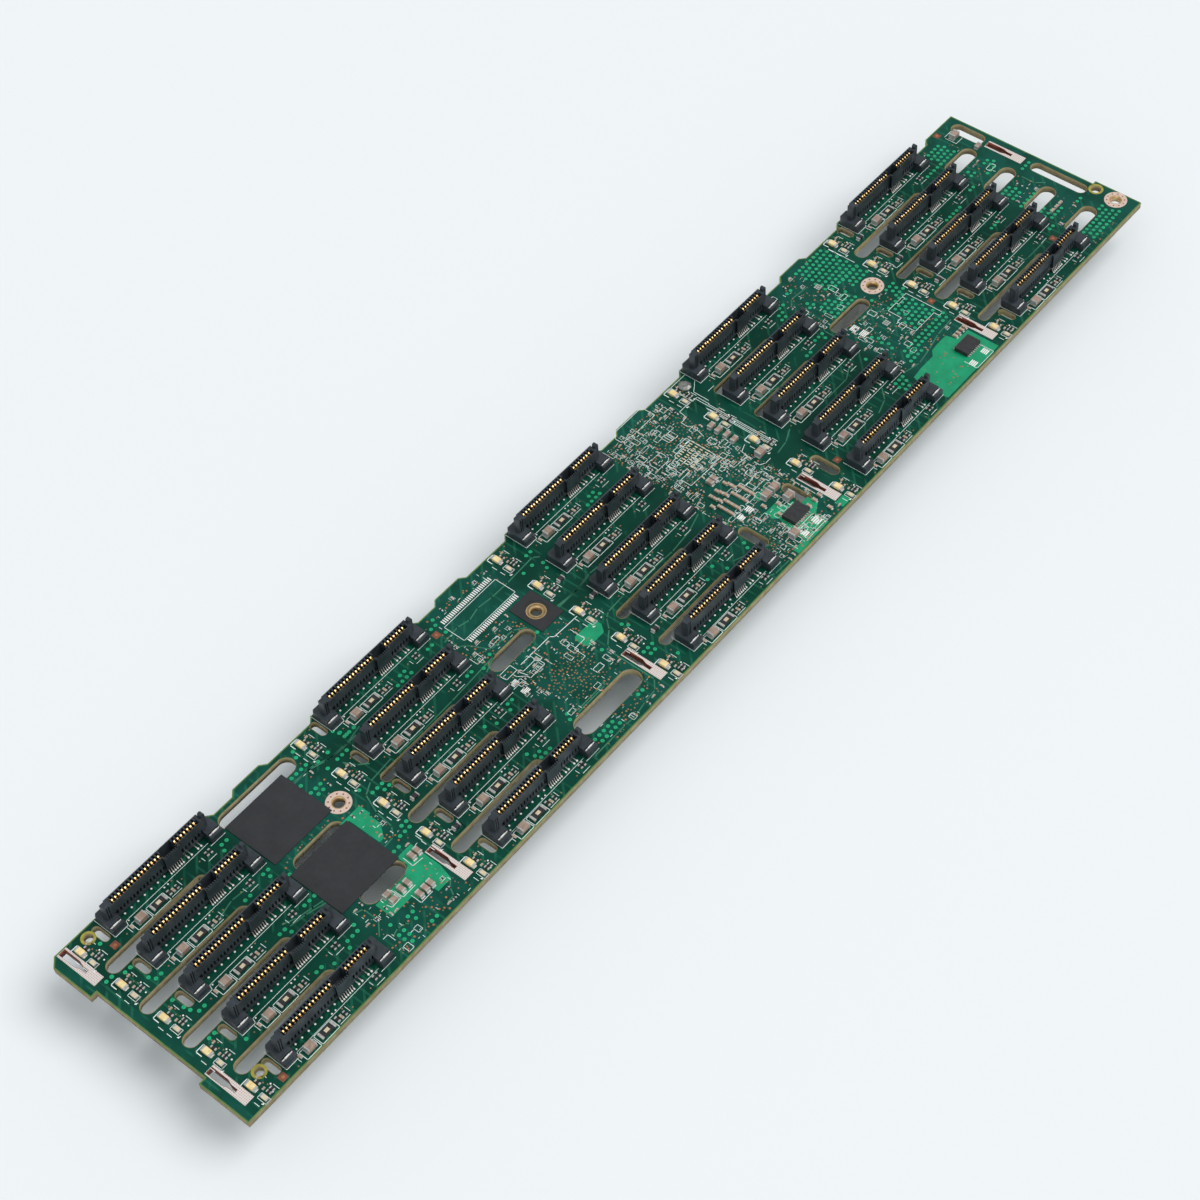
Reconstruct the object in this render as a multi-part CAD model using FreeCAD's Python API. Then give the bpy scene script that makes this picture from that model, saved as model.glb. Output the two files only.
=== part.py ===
# Drive backplane board: one circuit board with five columns of five upright drive connectors on
# its front, and with its rear connectors, chips and guide pin below.
# Millimetres, +Z up, +X along the board. The origin is under the middle of the board, on the
# surface that the rear connectors stand on.
import FreeCAD, Part
import os
from math import cos, pi, sin

Vector = FreeCAD.Vector

# Drive grid: the status light of a drive bay is the datum point of its cell
column_count = 5
row_count = 5
column_pitch = 87.6
row_pitch = 16.4

# Circuit board, with its edges measured from the outer cells' datum points
board_thickness = 2.4
standing_height = 15.0
left_margin = 7.4
right_margin = 80.8
bottom_margin = 6.8
top_margin = 5.0

# Steps in the board's edges
left_recess = 2.2
left_tab_low = 18.4
left_tab_high = 14.8
corner_cut = 2.6
right_step = 1.6
right_tab = 18.3
top_recess = 1.8
edge_slope = 2.0
top_tab_start = 8.0
top_tab_end = 53.4
top_bump_start = 62.9
top_bump_end = 77.6
last_recess_end = 61.4

# Airflow slots between the rows of connectors
slot_end_flats = 3
wide_slot = 4.8
narrow_slot = 3.7
slot_rise = 3.7
slot_end = 39.7
end_slot_width = 5.8
end_slot_rise = 2.3
end_slot_start = 54.0
end_slot_end = 68.9

# Locating slots beside the connectors
locating_slot_width = 2.5
locating_slot_length = 6.2
locating_slot_x = 8.2

# Keying slots near the board's edges: a wide part that narrows to a neck at its lower end
keying_slot_width = 2.3
keying_neck_width = 1.15
keying_wide_length = 6.2
keying_taper_length = 1.7
keying_neck_length = 2.3
keying_slot_x = -2.85
keying_slot_top = 12.4
corner_keying_slot = (0, 4, -2.5, 4.4)

# Holes
mounting_hole = 4.0
tooling_hole = 2.9
support_hole = 3.6
hole_flats = 8

# Drive connector housing, in a frame at the middle of its contact row on the board
housing_x = 31.4
housing_y = 1.1
bar_width = 3.0
bar_height = 8.0
block_reach = 3.35
block_overlap = 1.15
block_height = 3.1
block_front = 4.9
block_back = 3.2
block_corner = 0.8
left_tower_length = 1.9
left_tower_back = 0.8
left_tower_height = 8.6
right_tower_length = 1.45
right_tower_front = 0.75
right_tower_back = 0.65
right_tower_height = 9.3
right_tower_chamfer = 0.5
slot_width = 2.3
slot_depth = 5.0
slot_front_wall = 0.4
slot_end_room = 1.0
slot_end_wall = 1.125
key_foot = 2.3
key_reach = 0.75
key_foot_reach = 0.9
key_wall = 0.7
key_side_wall = 0.45
key_clearance = 0.1

# Contacts, standing against the back wall of the slot
contact_pitch = 1.27
power_contacts = 15
signal_contacts = 7
key_gap = 6.35
contact_width = 0.5
contact_rise = 4.4
contact_crown_rise = 3.6
contact_reach = 1.3
early_contacts = (4, 12)
early_rise = 0.5

# Insulating sheets
sheet_thickness = 0.3
sheet_length = 23.2
sheet_width = 20.1
sheet_x = 54.1
upper_sheet_y = -6.4
lower_sheet_y = 0.6
patch_length = 10.0
patch_width = 13.2
patch_hole = 8.4

# Small parts on the front
light_length = 3.6
light_width = 2.0
light_height = 1.1
light_x = 0.6
capacitor_length = 3.2
capacitor_width = 2.4
capacitor_height = 2.0
capacitor_x = 18.6
capacitor_y = -5.6
first_row_capacitor_y = -4.4
driver_chip_length = 7.6
driver_chip_width = 5.0
driver_chip_height = 1.6

# Rear connectors, which the board stands on
data_connector_length = 21.4
data_connector_width = 8.4
data_wall = 1.1
data_rib = 1.6
data_cavity = 8.0
power_connector_length = 16.6
power_connector_width = 20.0
power_cells = 3
power_wall = 1.6
power_cavity = 9.0

# Rear chips
switch_chip_size = 21.0
switch_chip_base = 0.9
switch_chip_height = 2.6
switch_chip_border = 3.0

# Guide pin
pin_head = 4.5
pin_head_height = 1.2
pin_crown = 2.6
pin_shank = 3.2
pin_collar = 6.4
pin_collar_height = 1.6
pin_length = 11.0
pin_tip = 2.2
pin_taper = 4.0
pin_clearance = 0.05
pin_flats = 8

# Worked out from the sizes above
board_length = left_margin + (column_count - 1) * column_pitch + right_margin
board_width = bottom_margin + (row_count - 1) * row_pitch + top_margin
left_end = -board_length / 2
right_end = board_length / 2
bottom_edge = -board_width / 2
top_edge = board_width / 2
board_top = standing_height + board_thickness
bar_front = -bar_width / 2
slot_front = bar_front + slot_front_wall
slot_back = slot_front + slot_width
slot_floor = bar_height - slot_depth
contact_span = (power_contacts + signal_contacts - 2) * contact_pitch + key_gap
slot_end_x = contact_span / 2 + slot_end_room
bar_end = slot_end_x + slot_end_wall

# Airflow slots: column, row, start along the column, end, width
airflow_slots = [
    (0, 0, 1.2, slot_end, wide_slot),
    (0, 1, -1.8, slot_end, wide_slot),
    (0, 2, -1.8, slot_end, wide_slot),
    (0, 3, 1.2, slot_end, wide_slot),
    (1, 0, 1.0, slot_end, wide_slot),
    (1, 1, 1.0, slot_end, wide_slot),
    (1, 2, 6.3, slot_end, narrow_slot),
    (2, 0, 6.3, slot_end, narrow_slot),
    (2, 1, 6.3, slot_end, narrow_slot),
    (3, 2, 9.6, slot_end, narrow_slot),
    (3, 3, 9.6, slot_end, narrow_slot),
    (4, 0, 1.0, slot_end, narrow_slot),
    (4, 1, 1.0, slot_end, wide_slot),
    (4, 2, 1.0, slot_end, narrow_slot),
    (4, 3, 1.0, slot_end, wide_slot),
]

# Slots in the strips between the columns: column, row, start and end along X, then along Y
strip_slots = [
    (0, 4, 53.8, 83.2, -4.6, 1.5),
    (0, 2, 57.1, 76.0, 1.9, 7.5),
    (0, 1, 60.5, 76.7, -4.3, 1.8),
    (1, 2, 55.5, 74.1, 3.9, 9.4),
    (1, 0, 53.8, 81.5, 1.1, 8.2),
    (2, 0, 54.1, 58.0, 3.4, 14.1),
    (2, 0, 76.6, 80.3, 3.4, 14.1),
    (3, 0, 3.8, 7.6, 3.4, 14.1),
    (3, 2, 54.8, 73.4, 5.6, 10.7),
]

# Upright slots at the right end: row, distances of the two sides from the end, start and end
end_slots = [
    (4, 8.3, 3.4, -11.8, 1.5),
    (1, 8.5, 3.9, -5.0, 17.2),
]

# Places in a cell: column, row, X, Y
strip_mounting_holes = [(0, 3, 80.5, -6.0), (1, 3, 80.5, -6.0), (3, 3, 80.1, -6.0)]
tooling_holes = [(0, 4, 5.1, 1.8), (0, 0, 5.1, 1.5)]
driver_chips = [(2, 0, 71.2, 3.8), (3, 0, 75.4, 2.0)]
data_connectors = [(0, 3, 65.7, 5.4), (0, 0, 65.7, 7.7)]
power_connectors = [(3, 3, 73.2, 9.7), (3, 2, 73.2, -5.8)]
switch_chips = [(1, 1, 67.7, 2.8), (2, 2, 75.5, 8.0)]
guide_pin_place = (3, 4, 5.6, -0.9)

# Measured from the right end and from the first row
corner_mounting_hole = (4.0, 0.9)
corner_support_hole = (3.4, 9.2)
right_keying_slot = (6.2, 52.1)

patch_column = 1
locating_columns = (0, 1, 4)


def column_x(column):
    return left_end + left_margin + column * column_pitch


def row_y(row):
    return bottom_edge + bottom_margin + row * row_pitch


def cell_point(place):
    column, row, x, y = place
    return column_x(column) + x, row_y(row) + y


def block(x0, x1, y0, y1, z0, z1):
    return Part.makeBox(x1 - x0, y1 - y0, z1 - z0, Vector(x0, y0, z0))


def centred_block(x, y, length, width, z0, z1):
    return block(x - length / 2, x + length / 2, y - width / 2, y + width / 2, z0, z1)


def prism(points, direction):
    return Part.Face(Part.makePolygon(points + points[:1])).extrude(direction)


# A profile in Y and Z, drawn out along X
def profile_along_x(profile, x0, x1):
    return prism([Vector(x0, y, z) for y, z in profile], Vector(x1 - x0, 0, 0))


# A profile in X and Z, drawn out along Y
def profile_along_y(profile, y0, y1):
    return prism([Vector(x, y0, z) for x, z in profile], Vector(0, y1 - y0, 0))


# A plan in X and Y, raised from one level to another
def plan_upright(plan, z0, z1):
    return prism([Vector(x, y, z0) for x, y in plan], Vector(0, 0, z1 - z0))


def board_cutter(plan):
    return plan_upright(plan, standing_height, board_top)


# A slot whose round ends are each drawn as a few flats
def round_slot(x0, x1, y0, y1):
    radius = min(x1 - x0, y1 - y0) / 2
    along_x = x1 - x0 > y1 - y0
    half_run = max(x1 - x0, y1 - y0) / 2 - radius
    plan = []
    for side in (1, -1):
        for i in range(slot_end_flats + 1):
            angle = pi * i / slot_end_flats - pi / 2
            run = side * (half_run + radius * cos(angle))
            rise = side * radius * sin(angle)
            offset = (run, rise) if along_x else (-rise, run)
            plan.append(((x0 + x1) / 2 + offset[0], (y0 + y1) / 2 + offset[1]))
    return board_cutter(plan)


# A hole drawn with flats, whose corners lie on its circle
def flat_sided_plan(x, y, diameter, flats):
    turns = [2 * pi * (i + 0.5) / flats for i in range(flats)]
    return [(x + diameter / 2 * cos(turn), y + diameter / 2 * sin(turn)) for turn in turns]


def round_hole(x, y, diameter):
    return Part.makeCylinder(diameter / 2, board_thickness, Vector(x, y, standing_height))


# A keying slot hangs from its upper end, and both its sides lean in to the neck
def keying_slot(x, top):
    half = keying_slot_width / 2
    neck = keying_neck_width / 2
    shoulder = top - keying_wide_length
    neck_top = shoulder - keying_taper_length
    bottom = neck_top - keying_neck_length
    left_side = [(x - half, top), (x - half, shoulder), (x - neck, neck_top), (x - neck, bottom)]
    right_side = [(x + neck, bottom), (x + neck, neck_top), (x + half, shoulder), (x + half, top)]
    return board_cutter(left_side + right_side)


# The board's outline, walked round from its lower left corner
def board_outline():
    recess_x = left_end + left_recess
    recess_y = top_edge - top_recess
    step_x = right_end - right_step
    plan = [
        (left_end, bottom_edge),
        (right_end, bottom_edge),
        (right_end, bottom_edge + right_tab),
        (step_x, bottom_edge + right_tab),
        (step_x, top_edge),
    ]
    for column in reversed(range(column_count)):
        x = column_x(column)
        if column == column_count - 1:
            plan += [(x + last_recess_end + edge_slope, top_edge), (x + last_recess_end, recess_y)]
        else:
            next_tab = x + column_pitch + top_tab_start
            plan += [
                (next_tab + edge_slope, top_edge),
                (next_tab, recess_y),
                (x + top_bump_end, recess_y),
                (x + top_bump_end - edge_slope, top_edge),
                (x + top_bump_start + edge_slope, top_edge),
                (x + top_bump_start, recess_y),
            ]
        plan += [(x + top_tab_end + edge_slope, recess_y), (x + top_tab_end, top_edge)]
    tab_bottom = top_edge - corner_cut - left_tab_high
    plan += [
        (left_end + corner_cut, top_edge),
        (left_end, top_edge - corner_cut),
        (left_end, tab_bottom),
        (recess_x, tab_bottom),
        (recess_x, bottom_edge + left_tab_low),
        (left_end, bottom_edge + left_tab_low),
    ]
    return plan


def airflow_cutters():
    cutters = []
    for column, row, start, end, width in airflow_slots:
        x = column_x(column)
        y = row_y(row) + slot_rise
        cutters.append(round_slot(x + start, x + end, y, y + width))
    x = column_x(column_count - 1)
    for row in range(row_count - 1):
        y = row_y(row) + end_slot_rise
        cutters.append(round_slot(x + end_slot_start, x + end_slot_end, y, y + end_slot_width))
    for column, row, x0, x1, y0, y1 in strip_slots:
        x = column_x(column)
        y = row_y(row)
        cutters.append(round_slot(x + x0, x + x1, y + y0, y + y1))
    for row, far, near, y0, y1 in end_slots:
        y = row_y(row)
        cutters.append(round_slot(right_end - far, right_end - near, y + y0, y + y1))
    return cutters


def locating_cutters():
    cutters = []
    half_width = locating_slot_width / 2
    half_length = locating_slot_length / 2
    for column in locating_columns:
        x = column_x(column) + locating_slot_x
        for row in range(row_count):
            y = row_y(row)
            cutters.append(round_slot(x - half_width, x + half_width, y - half_length, y + half_length))
    return cutters


def keying_cutters():
    tops = [cell_point((column, 0, keying_slot_x, keying_slot_top)) for column in range(column_count)]
    tops.append(cell_point(corner_keying_slot))
    tops.append((right_end - right_keying_slot[0], row_y(0) + right_keying_slot[1]))
    return [keying_slot(x, y) for x, y in tops]


def mounting_points():
    points = [cell_point(place) for place in strip_mounting_holes]
    points.append((right_end - corner_mounting_hole[0], row_y(0) + corner_mounting_hole[1]))
    return points


def small_hole_cutters():
    plans = [flat_sided_plan(*cell_point(place), tooling_hole, hole_flats) for place in tooling_holes]
    x = right_end - corner_support_hole[0]
    plans.append(flat_sided_plan(x, row_y(0) + corner_support_hole[1], support_hole, hole_flats))
    pin_x, pin_y = cell_point(guide_pin_place)
    plans.append(flat_sided_plan(pin_x, pin_y, pin_shank + 2 * pin_clearance, pin_flats))
    return [board_cutter(plan) for plan in plans]


def circuit_board():
    board = board_cutter(board_outline())
    cutters = airflow_cutters() + locating_cutters() + keying_cutters() + small_hole_cutters()
    cutters += [round_hole(x, y, mounting_hole) for x, y in mounting_points()]
    return board.cut(cutters)


# The contacts' places along the slot: a long group, a gap for the key, then a short group
def contact_places():
    first = -contact_span / 2
    places = [first + i * contact_pitch for i in range(power_contacts)]
    places += [places[-1] + key_gap + i * contact_pitch for i in range(signal_contacts)]
    return places


# The bar that holds the contacts, with the plug slot along its top
def housing_bar():
    return block(-bar_end, bar_end, bar_front, -bar_front, 0, bar_height)


# The left end block reaches further back, and the outer corner there is cut off
def left_block():
    outer = -bar_end - block_reach
    inner = -bar_end + block_overlap
    plan = [
        (outer, -block_front),
        (inner, -block_front),
        (inner, block_back),
        (outer + block_corner, block_back),
        (outer, block_back - block_corner),
    ]
    return plan_upright(plan, 0, block_height)


def right_block():
    return block(bar_end - block_overlap, bar_end + block_reach, -block_front, -bar_front, 0, block_height)


# The left guide tower is a post on its end block, at the end of the bar
def left_tower():
    outer = -bar_end - left_tower_length
    return block(outer, -bar_end, bar_front, left_tower_back, block_height, left_tower_height)


# The right one is a blade, chamfered on the outer side of its tip
def right_tower():
    outer = bar_end + right_tower_length
    profile = [
        (bar_end, block_height),
        (outer, block_height),
        (outer, right_tower_height - right_tower_chamfer),
        (outer - right_tower_chamfer, right_tower_height),
        (bar_end, right_tower_height),
    ]
    return profile_along_y(profile, -right_tower_front, right_tower_back)


# The wall in front of the key, which widens towards its foot
def key_bulge(start, end):
    profile = [
        (bar_front, key_foot),
        (bar_front - key_foot_reach, key_foot),
        (bar_front - key_reach, bar_height),
        (bar_front, bar_height),
    ]
    return profile_along_x(profile, start, end)


# The slot that takes the drive's plug is wider at the key, between the two groups of contacts
def plug_slot(key_start, key_end):
    key_front = bar_front - key_reach + key_wall
    plan = [
        (-slot_end_x, slot_front),
        (key_start, slot_front),
        (key_start, key_front),
        (key_end, key_front),
        (key_end, slot_front),
        (slot_end_x, slot_front),
        (slot_end_x, slot_back),
        (-slot_end_x, slot_back),
    ]
    return plan_upright(plan, slot_floor, bar_height)


def connector_housing():
    places = contact_places()
    key_start = places[power_contacts - 1] + key_clearance
    key_end = places[power_contacts] - key_clearance
    pieces = [left_block(), right_block(), left_tower(), right_tower(), key_bulge(key_start, key_end)]
    housing = housing_bar().fuse(pieces)
    return housing.cut(plug_slot(key_start + key_side_wall, key_end - key_side_wall)).removeSplitter()


# A sprung contact leans out of the back wall to its crown and turns back to the wall
def connector_contact(x, rise):
    profile = [
        (slot_back, slot_floor),
        (slot_back, slot_floor + contact_rise + rise),
        (slot_back - contact_reach, slot_floor + contact_crown_rise + rise),
    ]
    return profile_along_x(profile, x - contact_width / 2, x + contact_width / 2)


def connector_contacts():
    contacts = []
    for number, x in enumerate(contact_places(), start=1):
        contacts.append(connector_contact(x, early_rise if number in early_contacts else 0))
    return Part.makeCompound(contacts)


def insulating_sheet(place):
    x, y = cell_point(place)
    return block(x, x + sheet_length, y, y + sheet_width, board_top, board_top + sheet_thickness)


# A sheet with a hole for the ring round its mounting hole
def insulating_patch():
    x, y = mounting_points()[patch_column]
    top = board_top + sheet_thickness
    patch = centred_block(x, y, patch_length, patch_width, board_top, top)
    return patch.cut(plan_upright(flat_sided_plan(x, y, patch_hole, hole_flats), board_top, top))


def status_light(column, row):
    x, y = cell_point((column, row, light_x, 0))
    return centred_block(x, y, light_width, light_length, board_top, board_top + light_height)


# The first row's capacitors sit a little nearer to their connectors than the others
def capacitor(column, row):
    rise = capacitor_y if row else first_row_capacitor_y
    x, y = cell_point((column, row, capacitor_x, rise))
    top = board_top + capacitor_height
    return centred_block(x, y, capacitor_length, capacitor_width, board_top, top)


def driver_chip(place):
    x, y = cell_point(place)
    top = board_top + driver_chip_height
    return centred_block(x, y, driver_chip_length, driver_chip_width, board_top, top)


# Two cavities open downwards, end to end with a rib between them
def data_connector(place):
    x, y = cell_point(place)
    length = data_connector_length
    width = data_connector_width
    body = centred_block(x, y, length, width, 0, standing_height)
    cavity_length = (length - 2 * data_wall - data_rib) / 2
    cavities = []
    for side in (-1, 1):
        middle = x + side * (data_rib + cavity_length) / 2
        cavities.append(centred_block(middle, y, cavity_length, width - 2 * data_wall, 0, data_cavity))
    return body.cut(cavities)


# A row of cells open downwards
def power_connector(place):
    x, y = cell_point(place)
    length = power_connector_length
    width = power_connector_width
    body = centred_block(x, y, length, width, 0, standing_height)
    cell_width = (width - (power_cells + 1) * power_wall) / power_cells
    first = y - width / 2 + power_wall + cell_width / 2
    cells = []
    for i in range(power_cells):
        middle = first + i * (cell_width + power_wall)
        cells.append(centred_block(x, middle, length - 2 * power_wall, cell_width, 0, power_cavity))
    return body.cut(cells)


# A chip under the board: a thin base, and a smaller lid below it
def switch_chip(place):
    x, y = cell_point(place)
    size = switch_chip_size
    lid = size - 2 * switch_chip_border
    base_bottom = standing_height - switch_chip_base
    base = centred_block(x, y, size, size, base_bottom, standing_height)
    return base.fuse(centred_block(x, y, lid, lid, standing_height - switch_chip_height, base_bottom))


# One length of the pin, between two levels that each have their own diameter
def pin_stage(z0, diameter0, z1, diameter1):
    x, y = cell_point(guide_pin_place)
    lower = [Vector(px, py, z0) for px, py in flat_sided_plan(x, y, diameter0, pin_flats)]
    upper = [Vector(px, py, z1) for px, py in flat_sided_plan(x, y, diameter1, pin_flats)]
    outlines = [lower, upper]
    for i in range(pin_flats):
        outlines.append([lower[i - 1], lower[i], upper[i], upper[i - 1]])
    faces = [Part.Face(Part.makePolygon(outline + outline[:1])) for outline in outlines]
    return Part.Solid(Part.Shell(faces))


# One pin, from its riveted head above the board down to its tapered tip
def guide_pin():
    head_middle = board_top + pin_head_height / 2
    collar_bottom = standing_height - pin_collar_height
    tip = standing_height - pin_length
    stages = [
        pin_stage(board_top, pin_head, head_middle, pin_head),
        pin_stage(head_middle, pin_head, board_top + pin_head_height, pin_crown),
        pin_stage(collar_bottom, pin_collar, standing_height, pin_collar),
        pin_stage(tip + pin_taper, pin_head, collar_bottom, pin_head),
        pin_stage(tip, pin_tip, tip + pin_taper, pin_head),
    ]
    return pin_stage(standing_height, pin_shank, board_top, pin_shank).fuse(stages).removeSplitter()


def placed(shape, column, row):
    copy = shape.copy()
    x, y = cell_point((column, row, housing_x, housing_y))
    copy.translate(Vector(x, y, board_top))
    return copy


# Every node of the part, by name
def backplane_nodes():
    housing = connector_housing()
    contacts = connector_contacts()
    nodes = {"circuit_board": circuit_board()}
    for column in range(column_count):
        for row in range(row_count):
            nodes["drive_connector_%d_%d" % (column + 1, row + 1)] = placed(housing, column, row)
        group = [placed(contacts, column, row) for row in range(row_count)]
        nodes["drive_contacts_%d" % (column + 1)] = Part.makeCompound(group)
    cells = [(column, row) for column in range(column_count) for row in range(row_count)]
    nodes["status_lights"] = Part.makeCompound([status_light(*cell) for cell in cells])
    nodes["bulk_capacitors"] = Part.makeCompound([capacitor(*cell) for cell in cells])
    nodes["upper_insulating_sheet"] = insulating_sheet((0, 3, sheet_x, upper_sheet_y))
    nodes["lower_insulating_sheet"] = insulating_sheet((0, 1, sheet_x, lower_sheet_y))
    nodes["insulating_patch"] = insulating_patch()
    for i, place in enumerate(driver_chips, start=1):
        nodes["driver_chip_%d" % i] = driver_chip(place)
    for i, place in enumerate(data_connectors, start=1):
        nodes["data_connector_%d" % i] = data_connector(place)
    for i, place in enumerate(power_connectors, start=1):
        nodes["power_connector_%d" % i] = power_connector(place)
    for i, place in enumerate(switch_chips, start=1):
        nodes["switch_chip_%d" % i] = switch_chip(place)
    nodes["guide_pin"] = guide_pin()
    return nodes


os.makedirs("parts", exist_ok=True)
for name, shape in backplane_nodes().items():
    shape.exportStep("parts/" + name + ".step")
    print(name, len(shape.Solids), "solids, valid:", shape.isValid())
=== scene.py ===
import math
import random

import bmesh
import bpy
from mathutils import Matrix, Vector


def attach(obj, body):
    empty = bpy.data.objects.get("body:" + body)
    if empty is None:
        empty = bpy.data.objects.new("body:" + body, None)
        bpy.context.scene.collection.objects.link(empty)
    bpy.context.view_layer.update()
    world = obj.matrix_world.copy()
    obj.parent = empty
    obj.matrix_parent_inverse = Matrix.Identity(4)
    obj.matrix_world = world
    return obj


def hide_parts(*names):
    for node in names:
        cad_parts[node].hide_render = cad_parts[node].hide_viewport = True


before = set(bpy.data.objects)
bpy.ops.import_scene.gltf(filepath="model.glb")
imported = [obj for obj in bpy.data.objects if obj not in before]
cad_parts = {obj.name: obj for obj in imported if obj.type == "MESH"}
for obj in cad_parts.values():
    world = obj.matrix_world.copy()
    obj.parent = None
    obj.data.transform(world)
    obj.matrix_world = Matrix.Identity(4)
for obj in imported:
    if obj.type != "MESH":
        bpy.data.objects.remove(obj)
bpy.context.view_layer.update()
mm = 0.001
stand = bpy.context.scene.collection
dice = random.Random(71)

# The board's own grid: a bay's status light is its datum point, and places below are in mm from the first one
bays = {"columns": 5, "rows": 5, "columnPitch": 87.6, "rowPitch": 16.4, "firstX": -211.9, "firstY": -31.9,
        "faceZ": 17.4, "rearZ": 15.0}
cells = [(c, r) for c in range(bays["columns"]) for r in range(bays["rows"])]


def tone(red, green, blue):
    parts = (red / 255, green / 255, blue / 255)
    return tuple(((v + 0.055) / 1.055) ** 2.4 if v > 0.0404 else v / 12.92 for v in parts) + (1.0,)


def inBay(column, row, x, y):
    return column * bays["columnPitch"] + x, row * bays["rowPitch"] + y


def onFace(x, y, z=0.0):  # mm from the first status light, to metres in the model's frame
    return Vector(((bays["firstX"] + x) * mm, (bays["firstY"] + y) * mm, (bays["faceZ"] + z) * mm))


def startFinish(name, colour, roughness, metallic=0.0):
    finish = bpy.data.materials.new(name)
    finish.use_nodes = True
    shader = finish.node_tree.nodes["Principled BSDF"]
    shader.inputs["Base Color"].default_value = colour
    shader.inputs["Roughness"].default_value = roughness
    shader.inputs["Metallic"].default_value = metallic
    return finish, finish.node_tree, shader


def addNode(tree, kind, values=None, **settings):
    made = tree.nodes.new(kind)
    for key, value in settings.items():
        setattr(made, key, value)
    for key, value in (values or {}).items():
        made.inputs[key].default_value = value
    return made


def objectNoise(tree, scale, detail=3.0, roughness=0.55, stretch=None):
    where = addNode(tree, "ShaderNodeTexCoord")
    source = where.outputs["Object"]
    if stretch:
        mapping = addNode(tree, "ShaderNodeMapping", {"Scale": stretch})
        tree.links.new(source, mapping.inputs["Vector"])
        source = mapping.outputs["Vector"]
    noise = addNode(tree, "ShaderNodeTexNoise", {"Scale": scale, "Detail": detail, "Roughness": roughness})
    tree.links.new(source, noise.inputs["Vector"])
    return noise.outputs["Fac"]


def mixTones(tree, factor, first, second):
    mix = addNode(tree, "ShaderNodeMix", data_type="RGBA")
    for socket, value in ((mix.inputs[0], factor), (mix.inputs[6], first), (mix.inputs[7], second)):
        if isinstance(value, (tuple, float)):
            socket.default_value = value
        else:
            tree.links.new(value, socket)
    return mix.outputs[2]


def remap(tree, source, low, high, outLow=0.0, outHigh=1.0):
    node = addNode(tree, "ShaderNodeMapRange", {"From Min": low, "From Max": high, "To Min": outLow, "To Max": outHigh})
    tree.links.new(source, node.inputs["Value"])
    return node.outputs["Result"]


def addBump(tree, shader, height, strength, distance):
    bump = addNode(tree, "ShaderNodeBump", {"Strength": strength, "Distance": distance})
    tree.links.new(height, bump.inputs["Height"])
    tree.links.new(bump.outputs["Normal"], shader.inputs["Normal"])


def combined(tree, operation, *values):  # a Math node over numbers and other nodes' outputs
    node = addNode(tree, "ShaderNodeMath", operation=operation)
    for socket, value in zip(node.inputs, values):
        if isinstance(value, float):
            socket.default_value = value
        else:
            tree.links.new(value, socket)
    return node.outputs[0]


def waves(tree, angle, scale, distortion, low, high):  # thin parallel lines across the object
    turn = addNode(tree, "ShaderNodeMapping", {"Rotation": (0.0, 0.0, angle)})
    tree.links.new(addNode(tree, "ShaderNodeTexCoord").outputs["Object"], turn.inputs["Vector"])
    wave = addNode(tree, "ShaderNodeTexWave", {"Scale": scale, "Distortion": distortion, "Detail": 1.0})
    tree.links.new(turn.outputs["Vector"], wave.inputs["Vector"])
    return remap(tree, wave.outputs["Fac"], low, high)


def part(tree, vector, axis):  # one coordinate of a vector
    split = addNode(tree, "ShaderNodeSeparateXYZ")
    tree.links.new(vector, split.inputs["Vector"])
    return split.outputs[axis]


# A finish whose colour drifts between two tones, with uneven gloss and a fine grain
def drifting(name, first, second, scale, roughness, metallic=0.0, grain=None, spread=0.08, contrast=(0.35, 0.65)):
    finish, tree, shader = startFinish(name, first, roughness, metallic)
    drift = remap(tree, objectNoise(tree, scale), *contrast)
    tree.links.new(mixTones(tree, drift, first, second), shader.inputs["Base Color"])
    gloss = objectNoise(tree, scale * 3.1, 4.0)
    tree.links.new(remap(tree, gloss, 0.3, 0.7, roughness - spread, roughness + spread), shader.inputs["Roughness"])
    if grain:
        addBump(tree, shader, objectNoise(tree, grain[0], 4.0), grain[1], grain[2])
    return finish


# How much a point lies in a strip between two columns, where the mask is paler
def stripShare(tree):
    x = part(tree, addNode(tree, "ShaderNodeTexCoord").outputs["Object"], "X")
    pitch = bays["columnPitch"] * mm
    share = combined(tree, "FRACT", combined(tree, "MULTIPLY_ADD", x, 1.0 / pitch, -bays["firstX"] * mm / pitch))
    both = combined(tree, "MULTIPLY", remap(tree, share, 0.6, 0.66), remap(tree, share, 0.93, 0.99, 1.0, 0.0))
    return combined(tree, "MULTIPLY", both, remap(tree, objectNoise(tree, 120.0, 3.0), 0.4, 0.56, 0.25, 1.0))


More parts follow.
